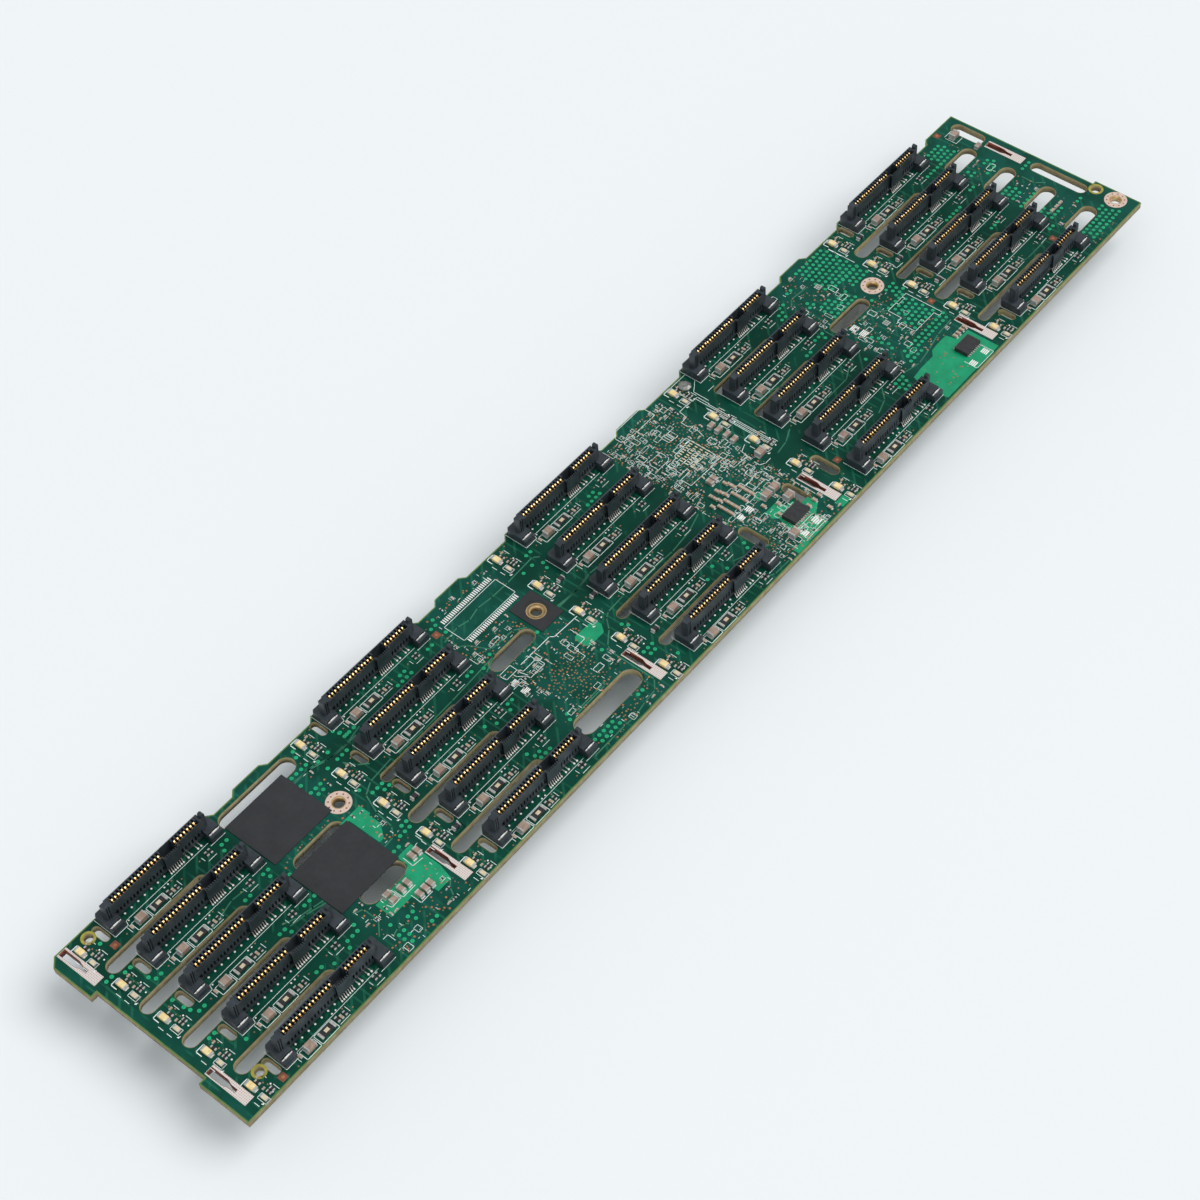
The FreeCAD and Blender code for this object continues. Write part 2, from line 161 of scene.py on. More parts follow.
# Solder mask on the two faces, and sawn laminate with its layers of glass cloth on every wall
def boardFinish():
    finish, tree, shader = startFinish("solderMaskOnLaminate", tone(8, 66, 48), 0.5)
    shader.inputs["Specular IOR Level"].default_value = 0.14
    broad = remap(tree, objectNoise(tree, 55.0, 4.0), 0.38, 0.62)
    mask = mixTones(tree, broad, tone(4, 56, 43), tone(7, 70, 55))
    mask = mixTones(tree, stripShare(tree), mask, tone(14, 78, 66))
    # buried conductors show as faint paler lines in two directions
    for angle, scale in ((0.0, 620.0), (math.pi / 4, 540.0)):
        patch = remap(tree, objectNoise(tree, 70.0 + 40 * angle, 2.0), 0.5, 0.58)
        lines = combined(tree, "MULTIPLY", waves(tree, angle, scale / 6, 0.6, 0.86, 0.94), patch)
        mask = mixTones(tree, combined(tree, "MULTIPLY", lines, 0.35), mask, tone(44, 120, 92))
    # laminate: thin layers along Z, and a brown drift
    height = part(tree, addNode(tree, "ShaderNodeTexCoord").outputs["Object"], "Z")
    ripple = combined(tree, "SINE", combined(tree, "MULTIPLY", height, 15500.0))
    browns = remap(tree, objectNoise(tree, 420.0, 5.0), 0.3, 0.7)
    laminate = mixTones(tree, browns, tone(134, 122, 90), tone(166, 154, 122))
    laminate = mixTones(tree, remap(tree, ripple, 0.2, 1.0, 0.0, 0.3), laminate, tone(108, 96, 66))
    upward = part(tree, addNode(tree, "ShaderNodeNewGeometry").outputs["True Normal"], "Z")
    isFace = remap(tree, combined(tree, "ABSOLUTE", upward), 0.5, 0.6)
    tree.links.new(mixTones(tree, isFace, laminate, mask), shader.inputs["Base Color"])
    tree.links.new(remap(tree, isFace, 0.0, 1.0, 0.8, 0.36), shader.inputs["Roughness"])
    addBump(tree, shader, objectNoise(tree, 2600.0, 3.0, stretch=(1.0, 1.0, 3.0)), 0.25, 0.00004)
    return finish


# The tinned strips beside the keying slots are pressed with a fine grid
def griddedTin():
    finish, tree, shader = startFinish("griddedTin", tone(226, 214, 208), 0.42, 0.35)
    grid = combined(tree, "MULTIPLY", *[waves(tree, angle, 520.0, 0.0, 0.55, 0.8) for angle in (0.0, math.pi / 2)])
    colour = mixTones(tree, grid, tone(232, 222, 216), tone(176, 138, 124))
    tree.links.new(colour, shader.inputs["Base Color"])
    addBump(tree, shader, grid, 0.4, 0.00005)
    return finish


print("finishes")
finishes = {
    "board": boardFinish(),
    "rim": drifting("sawnRim", tone(112, 104, 58), tone(136, 126, 78), 500.0, 0.75),
    "edgeRim": drifting("edgeRim", tone(70, 112, 48), tone(98, 128, 60), 300.0, 0.55),
    "mouldedBlack": drifting("mouldedBlack", tone(40, 47, 52), tone(54, 62, 68), 260.0, 0.36,
                             grain=(5200.0, 0.3, 0.00004)),
    "greyMoulding": drifting("greyMoulding", tone(204, 206, 200), tone(222, 224, 218), 260.0, 0.5,
                             grain=(5200.0, 0.3, 0.00004)),
    # the recess finish is a near-black painted shade, not the plastic's own colour
    "recess": drifting("paintedShadeBlack", tone(8, 9, 10), tone(14, 15, 16), 260.0, 0.7),
    "gold": drifting("goldPlating", tone(228, 186, 118), tone(244, 210, 150), 900.0, 0.32, 0.9, spread=0.06),
    "rimGold": drifting("wornGold", tone(206, 172, 116), tone(226, 196, 150), 900.0, 0.38, 0.8, spread=0.06),
    "tin": drifting("reflowedTin", tone(180, 181, 177), tone(212, 211, 205), 1400.0, 0.4, 0.5,
                    grain=(3000.0, 0.3, 0.00003)),
    # solder is near-white and barely metallic: a painted highlight that stands in for its specular shine on joints,
    # clips, tail tips and pads
    "solder": drifting("solderPaintedHighlight", tone(240, 238, 232), tone(252, 251, 247), 1400.0, 0.35, 0.1,
                       grain=(3000.0, 0.2, 0.00002)),
    "bareRing": drifting("bareRing", tone(140, 132, 46), tone(172, 162, 66), 700.0, 0.6),
    "copper": drifting("copperDot", tone(190, 118, 76), tone(162, 102, 68), 300.0, 0.5, 0.2),
    "tanDot": drifting("tanDot", tone(166, 118, 82), tone(136, 106, 76), 260.0, 0.5),
    "griddedTin": griddedTin(),
    "patchBrown": drifting("patchBrown", tone(112, 92, 56), tone(140, 116, 74), 700.0, 0.55),
    "platedWall": drifting("platedWall", tone(98, 42, 26), tone(126, 62, 38), 420.0, 0.5, 0.35),
    "print": drifting("printedWhite", tone(238, 246, 242), tone(220, 234, 228), 800.0, 0.62),
    "coveredVia": drifting("coveredVia", tone(10, 160, 106), tone(18, 176, 120), 200.0, 0.4),
    "viaCentre": drifting("viaCentre", tone(12, 126, 84), tone(18, 138, 96), 200.0, 0.5),
    "brightMask": drifting("brightMask", tone(5, 140, 96), tone(10, 156, 108), 240.0, 0.32),
    "trace": drifting("buriedTrace", tone(38, 104, 80), tone(52, 122, 94), 160.0, 0.36),
    "lens": drifting("lightBody", tone(230, 200, 134), tone(246, 226, 172), 900.0, 0.35,
                     grain=(2400.0, 0.2, 0.00003)),
    "cream": drifting("creamPart", tone(206, 190, 156), tone(220, 206, 176), 900.0, 0.5),
    "ceramic": drifting("brownCeramic", tone(146, 124, 110), tone(170, 147, 132), 700.0, 0.55,
                        grain=(4000.0, 0.2, 0.00003)),
    "tanCeramic": drifting("tanCeramic", tone(172, 142, 114), tone(190, 160, 132), 700.0, 0.55),
    "chip": drifting("chipResin", tone(34, 34, 36), tone(46, 46, 47), 800.0, 0.55, grain=(5200.0, 0.4, 0.00004)),
    "sheet": drifting("matteFilm", tone(34, 36, 39), tone(40, 42, 45), 180.0, 0.66, grain=(3600.0, 0.35, 0.00005)),
    "ring": drifting("tinnedRing", tone(232, 208, 194), tone(222, 190, 172), 900.0, 0.4, 0.3),
    "viaDark": drifting("openVia", tone(138, 80, 54), tone(112, 64, 46), 600.0, 0.6),
    "steel": drifting("turnedSteel", tone(128, 130, 126), tone(158, 160, 154), 900.0, 0.5, 0.8,
                      grain=(2200.0, 0.2, 0.00004)),
}


def slab(bm, x0, x1, y0, y1, z0, z1):
    corners = [bm.verts.new((x, y, z)) for z in (z0, z1) for x, y in ((x0, y0), (x1, y0), (x1, y1), (x0, y1))]
    for face in ((3, 2, 1, 0), (4, 5, 6, 7), (0, 1, 5, 4), (1, 2, 6, 5), (2, 3, 7, 6), (3, 0, 4, 7)):
        bm.faces.new([corners[i] for i in face])


# A closed outline, drawn out: "x" takes (y, z) points, "y" takes (x, z) and "z" takes (x, y)
def drawn(bm, axis, points, start, end):
    def place(point, along):
        a, b = point
        return {"x": (along, a, b), "y": (a, along, b), "z": (a, b, along)}[axis]
    near = [bm.verts.new(place(p, start)) for p in points]
    far = [bm.verts.new(place(p, end)) for p in points]
    faces = [bm.faces.new(near), bm.faces.new(far)]
    for i in range(len(points)):
        faces.append(bm.faces.new((near[i - 1], near[i], far[i], far[i - 1])))
    bmesh.ops.recalc_face_normals(bm, faces=faces)


def circle(x, y, radius, sides=32):
    angles = [math.tau * i / sides for i in range(sides)]
    return [(x + radius * math.cos(a), y + radius * math.sin(a)) for a in angles]


def disc(bm, x, y, z0, z1, radius, sides):
    drawn(bm, "z", circle(x, y, radius, sides), z0, z1)


def meshObject(name, bm, finish=None, scale=mm):
    bmesh.ops.scale(bm, vec=(scale, scale, scale), verts=bm.verts)
    mesh = bpy.data.meshes.new(name)
    bm.to_mesh(mesh)
    bm.free()
    made = bpy.data.objects.new(name, mesh)
    stand.objects.link(made)
    if finish:
        mesh.materials.append(finishes[finish])
    return made


def softened(bm, width):
    bmesh.ops.bevel(bm, geom=list(bm.edges), offset=width, segments=1, affect="EDGES", profile=0.5, clamp_overlap=True)


def keep(made, slotName, *replaced):
    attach(made, "root")
    if replaced:
        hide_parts(*replaced)
    return made


def startTree(name, sockets):
    tree = bpy.data.node_groups.new(name, "GeometryNodeTree")
    tree.interface.new_socket("Geometry", in_out="INPUT", socket_type="NodeSocketGeometry")
    names = {}
    for label, kind, value in sockets:
        socket = tree.interface.new_socket(label, in_out="INPUT", socket_type="NodeSocket" + kind)
        if value is not None:
            socket.default_value = value
        names[label] = socket.identifier
    tree.interface.new_socket("Geometry", in_out="OUTPUT", socket_type="NodeSocketGeometry")
    return tree, names, tree.nodes.new("NodeGroupInput"), tree.nodes.new("NodeGroupOutput")


def endTree(tree, geometry, entry, leave):
    real = tree.nodes.new("GeometryNodeRealizeInstances")
    finish = tree.nodes.new("GeometryNodeSetMaterial")
    tree.links.new(geometry, real.inputs["Geometry"])
    tree.links.new(real.outputs["Geometry"], finish.inputs["Geometry"])
    tree.links.new(entry.outputs["Finish"], finish.inputs["Material"])
    tree.links.new(finish.outputs["Geometry"], leave.inputs["Geometry"])


def copiesAt(tree, entry, points):  # the tree's piece at each of the points
    piece = addNode(tree, "GeometryNodeObjectInfo")
    tree.links.new(entry.outputs["Piece"], piece.inputs["Object"])
    copies = tree.nodes.new("GeometryNodeInstanceOnPoints")
    tree.links.new(points, copies.inputs["Points"])
    tree.links.new(piece.outputs["Geometry"], copies.inputs["Instance"])
    return copies


def lineOf(tree, entry, count, pitch, axis):  # points in a line, by the names of the tree's own values
    line = addNode(tree, "GeometryNodeMeshLine")
    step = addNode(tree, "ShaderNodeCombineXYZ")
    tree.links.new(entry.outputs[pitch], step.inputs[axis])
    tree.links.new(step.outputs[0], line.inputs["Offset"])
    tree.links.new(entry.outputs[count], line.inputs["Count"])
    return line


# One piece in every bay of the board
def bayTree():
    tree, names, entry, leave = startTree("pieceInEveryBay", [
        ("Piece", "Object", None), ("Finish", "Material", None), ("Columns", "Int", 5), ("Rows", "Int", 5),
        ("Column Pitch", "Float", 0.0876), ("Row Pitch", "Float", 0.0164), ("First Place", "Vector", None)])
    across = lineOf(tree, entry, "Columns", "Column Pitch", "X")
    upward = lineOf(tree, entry, "Rows", "Row Pitch", "Y")
    tree.links.new(entry.outputs["First Place"], across.inputs["Start Location"])
    lines = tree.nodes.new("GeometryNodeInstanceOnPoints")
    tree.links.new(across.outputs["Mesh"], lines.inputs["Points"])
    tree.links.new(upward.outputs["Mesh"], lines.inputs["Instance"])
    real = tree.nodes.new("GeometryNodeRealizeInstances")
    tree.links.new(lines.outputs["Instances"], real.inputs["Geometry"])
    copies = copiesAt(tree, entry, real.outputs["Geometry"])
    endTree(tree, copies.outputs["Instances"], entry, leave)
    return tree, names


# A row of one piece, such as ribs, contacts or comb fingers
def rowTree():
    tree, names, entry, leave = startTree("rowOfPieces", [
        ("Piece", "Object", None), ("Finish", "Material", None), ("Count", "Int", 10), ("Pitch", "Float", 0.001),
        ("First Place", "Vector", None)])
    line = lineOf(tree, entry, "Count", "Pitch", "X")
    tree.links.new(entry.outputs["First Place"], line.inputs["Start Location"])
    copies = copiesAt(tree, entry, line.outputs["Mesh"])
    endTree(tree, copies.outputs["Instances"], entry, leave)
    return tree, names


# One piece at each point of a mesh, turned and stretched by the points' own attributes
def placesTree():
    tree, names, entry, leave = startTree("pieceAtPlaces", [
        ("Piece", "Object", None), ("Finish", "Material", None), ("Turn Spread", "Float", 0.0),
        ("Size Spread", "Float", 0.0), ("Seed", "Int", 3)])
    turn = addNode(tree, "GeometryNodeInputNamedAttribute", {"Name": "turn"}, data_type="FLOAT")
    stretch = addNode(tree, "GeometryNodeInputNamedAttribute", {"Name": "stretch"}, data_type="FLOAT_VECTOR")
    wobble = addNode(tree, "FunctionNodeRandomValue", {2: -1.0, 3: 1.0}, data_type="FLOAT")
    tree.links.new(entry.outputs["Seed"], wobble.inputs["Seed"])
    extra = combined(tree, "MULTIPLY", wobble.outputs[1], entry.outputs["Turn Spread"])
    angle = addNode(tree, "ShaderNodeCombineXYZ")
    tree.links.new(combined(tree, "ADD", turn.outputs["Attribute"], extra), angle.inputs["Z"])
    spin = addNode(tree, "FunctionNodeEulerToRotation")
    tree.links.new(angle.outputs[0], spin.inputs[0])
    grow = combined(tree, "MULTIPLY_ADD", wobble.outputs[1], entry.outputs["Size Spread"], 1.0)
    scaled = addNode(tree, "ShaderNodeVectorMath", operation="SCALE")
    tree.links.new(stretch.outputs["Attribute"], scaled.inputs[0])
    tree.links.new(grow, scaled.inputs["Scale"])
    copies = copiesAt(tree, entry, entry.outputs["Geometry"])
    tree.links.new(spin.outputs[0], copies.inputs["Rotation"])
    tree.links.new(scaled.outputs[0], copies.inputs["Scale"])
    endTree(tree, copies.outputs["Instances"], entry, leave)
    return tree, names


trees = {"bays": bayTree(), "row": rowTree(), "places": placesTree()}


# Runs a tree and leaves a plain mesh; the master piece goes when it is no longer needed
def bake(kind, name, values, host=None, dropPiece=True):
    tree, names = trees[kind]
    host = host or bpy.data.objects.new(name + "Host", bpy.data.meshes.new(name + "Host"))
    if not host.users_collection:
        stand.objects.link(host)
    modifier = host.modifiers.new("made", "NODES")
    modifier.node_group = tree
    for label, value in values.items():
        modifier[names[label]] = value
    graph = bpy.context.evaluated_depsgraph_get()
    mesh = bpy.data.meshes.new_from_object(host.evaluated_get(graph))
    host.modifiers.remove(modifier)
    bpy.data.objects.remove(host)
    if dropPiece:
        bpy.data.objects.remove(values["Piece"])
    made = bpy.data.objects.new(name, mesh)
    stand.objects.link(made)
    return made


def everyBay(name, master, finish, rise=0.0):  # the rise lifts the first row's copies along the board, in mm
    joined = bmesh.new()
    groups = ((0, 1, rise), (1, bays["rows"] - 1, 0.0)) if rise else ((0, bays["rows"], 0.0),)
    for row, count, lift in groups:
        made = bake("bays", name + "Rows", {
            "Piece": master, "Finish": finishes[finish], "Columns": bays["columns"], "Rows": count,
            "Column Pitch": bays["columnPitch"] * mm, "Row Pitch": bays["rowPitch"] * mm,
            "First Place": tuple(onFace(0.0, row * bays["rowPitch"] + lift))}, dropPiece=False)
        joined.from_mesh(made.data)
        bpy.data.objects.remove(made)
    bpy.data.objects.remove(master)
    return meshObject(name, joined, finish, scale=1.0)


def rowOf(bm, master, count, pitch, first):  # adds a row of a master piece, in mm, to a mesh that is being built
    made = bake("row", "rowMade", {"Piece": master, "Finish": finishes["mouldedBlack"], "Count": count,
                                   "Pitch": pitch, "First Place": first})
    bm.from_mesh(made.data)
    bpy.data.objects.remove(made)


# Places are (x, y), with the turn in quarter turns and the stretch along each axis where they are given
def atPlaces(name, master, places, finish, slotName="board", lift=0.0, turnSpread=0.0, sizeSpread=0.0, dropPiece=True):
    host = bpy.data.objects.new(name + "Host", bpy.data.meshes.new(name + "Host"))
    points = [tuple(p) + (0.0, 1.0, 1.0, 1.0)[len(p) - 2:] for p in places]
    host.data.from_pydata([onFace(p[0], p[1], lift) for p in points], [], [])
    turn = host.data.attributes.new("turn", "FLOAT", "POINT")
    turn.data.foreach_set("value", [p[2] * math.pi / 2 for p in points])
    stretch = host.data.attributes.new("stretch", "FLOAT_VECTOR", "POINT")
    stretch.data.foreach_set("vector", [v for p in points for v in p[3:6]])
    made = bake("places", name, {"Piece": master, "Finish": finishes[finish], "Turn Spread": turnSpread,
                                 "Size Spread": sizeSpread, "Seed": 5}, host, dropPiece)
    return keep(made, slotName)


# Measures of the board's outline, and of the rims along it
boardSizes = {"leftMargin": 7.4, "rightMargin": 80.8, "bottomMargin": 6.8, "topMargin": 5.0, "leftRecess": 2.2,
              "leftTabLow": 18.4, "leftTabHigh": 14.8, "cornerCut": 2.6, "rightStep": 1.6, "rightTab": 18.3,
              "topRecess": 1.8, "slope": 2.0, "tabStart": 8.0, "tabEnd": 53.4, "bumpStart": 62.9, "bumpEnd": 77.6,
              "lastRecessEnd": 61.4, "arcSteps": 12, "rim": 0.16, "edgeRim": 0.4, "rimHeight": 0.012,
              "mountRadius": 2.0, "pinRadius": 1.65}
boardLeft = -boardSizes["leftMargin"]
boardRight = 4 * bays["columnPitch"] + boardSizes["rightMargin"]
boardBottom = -boardSizes["bottomMargin"]
boardUpper = 4 * bays["rowPitch"] + boardSizes["topMargin"]


def boardOutline():
    s = boardSizes
    recess = boardUpper - s["topRecess"]
    points = [(boardLeft, boardBottom), (boardRight, boardBottom), (boardRight, boardBottom + s["rightTab"]),
              (boardRight - s["rightStep"], boardBottom + s["rightTab"]), (boardRight - s["rightStep"], boardUpper)]
    for column in range(4, -1, -1):
        x = column * bays["columnPitch"]
        if column == 4:
            points += [(x + s["lastRecessEnd"] + s["slope"], boardUpper), (x + s["lastRecessEnd"], recess)]
        else:
            tab = x + bays["columnPitch"] + s["tabStart"]
            points += [(tab + s["slope"], boardUpper), (tab, recess), (x + s["bumpEnd"], recess),
                       (x + s["bumpEnd"] - s["slope"], boardUpper), (x + s["bumpStart"] + s["slope"], boardUpper),
                       (x + s["bumpStart"], recess)]
        points += [(x + s["tabEnd"] + s["slope"], recess), (x + s["tabEnd"], boardUpper)]
    tabBottom = boardUpper - s["cornerCut"] - s["leftTabHigh"]
    inner = boardLeft + s["leftRecess"]
    tabTop = boardBottom + s["leftTabLow"]
    return points + [(boardLeft + s["cornerCut"], boardUpper), (boardLeft, boardUpper - s["cornerCut"]),
                     (boardLeft, tabBottom), (inner, tabBottom), (inner, tabTop), (boardLeft, tabTop)]


def roundSlot(x0, x1, y0, y1, grow=0.0):
    x0, x1, y0, y1 = x0 - grow, x1 + grow, y0 - grow, y1 + grow
    radius = min(x1 - x0, y1 - y0) / 2
    run = max(x1 - x0, y1 - y0) / 2 - radius
    along = x1 - x0 > y1 - y0
    points = []
    for side in (1, -1):
        for i in range(boardSizes["arcSteps"] + 1):
            angle = math.pi * i / boardSizes["arcSteps"] - math.pi / 2
            a, b = side * (run + radius * math.cos(angle)), side * radius * math.sin(angle)
            dx, dy = (a, b) if along else (-b, a)
            points.append(((x0 + x1) / 2 + dx, (y0 + y1) / 2 + dy))
    return points


# Slots: airflow slots between the rows are (column, row, start, width), the strips' own (column, row, x0, x1, y0, y1)
airflow = [(0, 0, 1.2, 4.8), (0, 1, -1.8, 4.8), (0, 2, -1.8, 4.8), (0, 3, 1.2, 4.8), (1, 0, 1.0, 4.8), (1, 1, 1.0, 4.8),
           (1, 2, 6.3, 3.7), (2, 0, 6.3, 3.7), (2, 1, 6.3, 3.7), (3, 2, 9.6, 3.7), (3, 3, 9.6, 3.7), (4, 0, 1.0, 3.7),
           (4, 1, 1.0, 4.8), (4, 2, 1.0, 3.7), (4, 3, 1.0, 4.8)]
stripSlots = [(0, 4, 53.8, 83.2, -4.6, 1.5), (0, 2, 57.1, 76.0, 1.9, 7.5), (0, 1, 60.5, 76.7, -4.3, 1.8),
              (1, 2, 55.5, 74.1, 3.9, 9.4), (1, 0, 53.8, 81.5, 1.1, 8.2), (2, 0, 54.1, 58.0, 3.4, 14.1),
              (2, 0, 76.6, 80.3, 3.4, 14.1), (3, 0, 3.8, 7.6, 3.4, 14.1), (3, 2, 54.8, 73.4, 5.6, 10.7)]
slots = {"airflowLow": 3.7, "airflowEnd": 39.7, "lastPlace": (54.0, 2.3), "lastSize": (14.9, 5.8), "locating": 8.2,
         "locatingHalf": (1.25, 3.1), "rightEnd": ((4, 8.3, 3.4, -11.8, 1.5), (1, 8.5, 3.9, -5.0, 17.2))}
slotBoxes = []
for c, r, start, width in airflow:
    x, y = inBay(c, r, 0.0, slots["airflowLow"])
    slotBoxes.append((x + start, x + slots["airflowEnd"], y, y + width))
for r in range(4):
    x, y = inBay(4, r, *slots["lastPlace"])
    slotBoxes.append((x, x + slots["lastSize"][0], y, y + slots["lastSize"][1]))
for c, r, x0, x1, y0, y1 in stripSlots:
    x, y = inBay(c, r, 0.0, 0.0)
    slotBoxes.append((x + x0, x + x1, y + y0, y + y1))
for r, far, near, y0, y1 in slots["rightEnd"]:
    slotBoxes.append((boardRight - far, boardRight - near, r * bays["rowPitch"] + y0, r * bays["rowPitch"] + y1))
locatingBoxes = []
for c in (0, 1, 4):
    for r in range(5):
        x, y = inBay(c, r, slots["locating"], 0.0)
        dx, dy = slots["locatingHalf"]
        locatingBoxes.append((x - dx, x + dx, y - dy, y + dy))
keyTops = [inBay(c, 0, -2.85, 12.4) for c in range(5)] + [inBay(0, 4, -2.5, 4.4), (boardRight - 6.2, 52.1)]
mountHoles = [inBay(0, 3, 80.5, -6.0), inBay(1, 3, 80.5, -6.0), inBay(3, 3, 80.1, -6.0), (boardRight - 4.0, 0.9)]
toolHoles = [inBay(0, 4, 5.1, 1.8) + (1.45,), inBay(0, 0, 5.1, 1.5) + (1.45,), (boardRight - 3.4, 9.2, 1.8)]
pinPlace = inBay(3, 4, 5.6, -0.9)


# A keying slot hangs from its upper end and narrows to a neck
keying = {"wide": 1.15, "neck": 0.575, "shoulder": 6.2, "neckTop": 7.9, "length": 10.2, "padBelow": 15.0,
          "padAbove": 0.12, "padSides": (1.55, 1.9), "endPadSides": (1.8, 1.8), "lap": 0.02, "wall": 0.05}


def keyingSlot(x, top, grow=0.0):
    half = [(keying["neck"], keying["length"] + grow), (keying["neck"], keying["neckTop"]),
            (keying["wide"], keying["shoulder"]), (keying["wide"], -grow)]
    return [(x + a + grow, top - b) for a, b in half] + [(x - a - grow, top - b) for a, b in half[::-1]]


# A flat plate from closed loops, the inner ones being its holes
def plate(name, loops, z0, z1, finish):
    curve = bpy.data.curves.new(name + "Curve", "CURVE")
    curve.dimensions = "2D"
    curve.fill_mode = "BOTH"
    curve.extrude = (z1 - z0) * mm / 2
    for loop in loops:
        spline = curve.splines.new("POLY")
        spline.points.add(len(loop) - 1)
        for point, (x, y) in zip(spline.points, loop):
            point.co = ((bays["firstX"] + x) * mm, (bays["firstY"] + y) * mm, 0.0, 1.0)
        spline.use_cyclic_u = True
    host = bpy.data.objects.new(name + "Host", curve)
    stand.objects.link(host)
    mesh = bpy.data.meshes.new_from_object(host.evaluated_get(bpy.context.evaluated_depsgraph_get()))
    bpy.data.objects.remove(host)
    bm = bmesh.new()
    bm.from_mesh(mesh)
    bmesh.ops.remove_doubles(bm, verts=bm.verts, dist=0.000001)
    bmesh.ops.recalc_face_normals(bm, faces=bm.faces)
    bmesh.ops.translate(bm, vec=(0.0, 0.0, (bays["faceZ"] + (z0 + z1) / 2) * mm), verts=bm.verts)
    bm.to_mesh(mesh)
    bm.free()
    mesh.materials.clear()
    mesh.materials.append(finishes[finish])
    made = bpy.data.objects.new(name, mesh)
    stand.objects.link(made)
    return made


print("board")
holes = [roundSlot(*box) for box in slotBoxes + locatingBoxes] + [keyingSlot(*place) for place in keyTops]
holes += [circle(x, y, boardSizes["mountRadius"]) for x, y in mountHoles] + [circle(*hole) for hole in toolHoles]
holes.append(circle(*pinPlace, boardSizes["pinRadius"], 16))
boardLoops = [boardOutline()] + holes
keep(plate("boardBody", boardLoops, bays["rearZ"] - bays["faceZ"], 0.0, "board"), "board", "circuit_board")
rims = []
for box in slotBoxes + locatingBoxes:
    rims += [roundSlot(*box, grow=boardSizes["rim"]), roundSlot(*box)]
keep(plate("slotRims", rims, 0.0, boardSizes["rimHeight"], "rim"), "board")


def inset(points, depth):  # an outline that runs counterclockwise, moved inwards
    moved = []
    for i, (x, y) in enumerate(points):
        sides = []
        for (xa, ya), (xb, yb) in ((points[i - 1], (x, y)), ((x, y), points[(i + 1) % len(points)])):
            run = math.hypot(xb - xa, yb - ya)
            sides.append(((ya - yb) / run, (xb - xa) / run))
        (ax, ay), (bx, by) = sides
        share = depth / (1.0 + ax * bx + ay * by)
        moved.append((x + (ax + bx) * share, y + (ay + by) * share))
    return moved


edgeLoops = [boardOutline(), inset(boardOutline(), boardSizes["edgeRim"])]
keep(plate("edgeRim", edgeLoops, 0.0, boardSizes["rimHeight"], "edgeRim"), "board")

# Drive connector, in mm from its own centre; a profile holds (y, z) points, a plan (x, y) and the blade (x, z)
housing = {
    "x": 31.4, "y": 1.1, "bar": 18.0, "slotEnd": 16.9, "floor": 3.0, "pitch": 1.27, "edge": 0.05,
    "places": (-15.875, 8.255), "counts": (15, 7), "fingers": (14, 6), "fingerStarts": (-15.665, 9.565),
    "key": (2.0, 8.1), "keyWall": 0.43, "keyTeeth": 7, "ribWidth": 0.5, "fingerWidth": 0.62, "toothWidth": 0.52,
    "leftBlock": [(-21.35, -3.2), (-16.9, -3.2), (-16.9, 3.2), (-20.55, 3.2), (-21.35, 2.4)],
    "rightBlock": [(16.9, -3.2), (21.35, -3.2), (21.35, 1.5), (16.9, 1.5)], "flutes": (-19.9, -19.15, -18.4),
    "blade": [(17.9, 2.0), (17.9, 8.9), (18.3, 9.3), (18.9, 9.3), (19.3, 8.9), (19.45, 8.2), (19.45, 2.0)],
    "frontWall": [(-1.5, 4.05), (-1.5, 8.0), (-1.33, 8.0), (-0.95, 7.0), (-0.95, 4.05)],
    "backWall": [(1.5, 0.5), (1.2, 0.5), (1.2, 7.7), (1.3, 8.0), (1.5, 8.0)],
    "keyBulge": [(-1.75, 2.3), (-2.4, 2.3), (-2.28, 7.2), (-1.75, 7.2)]}


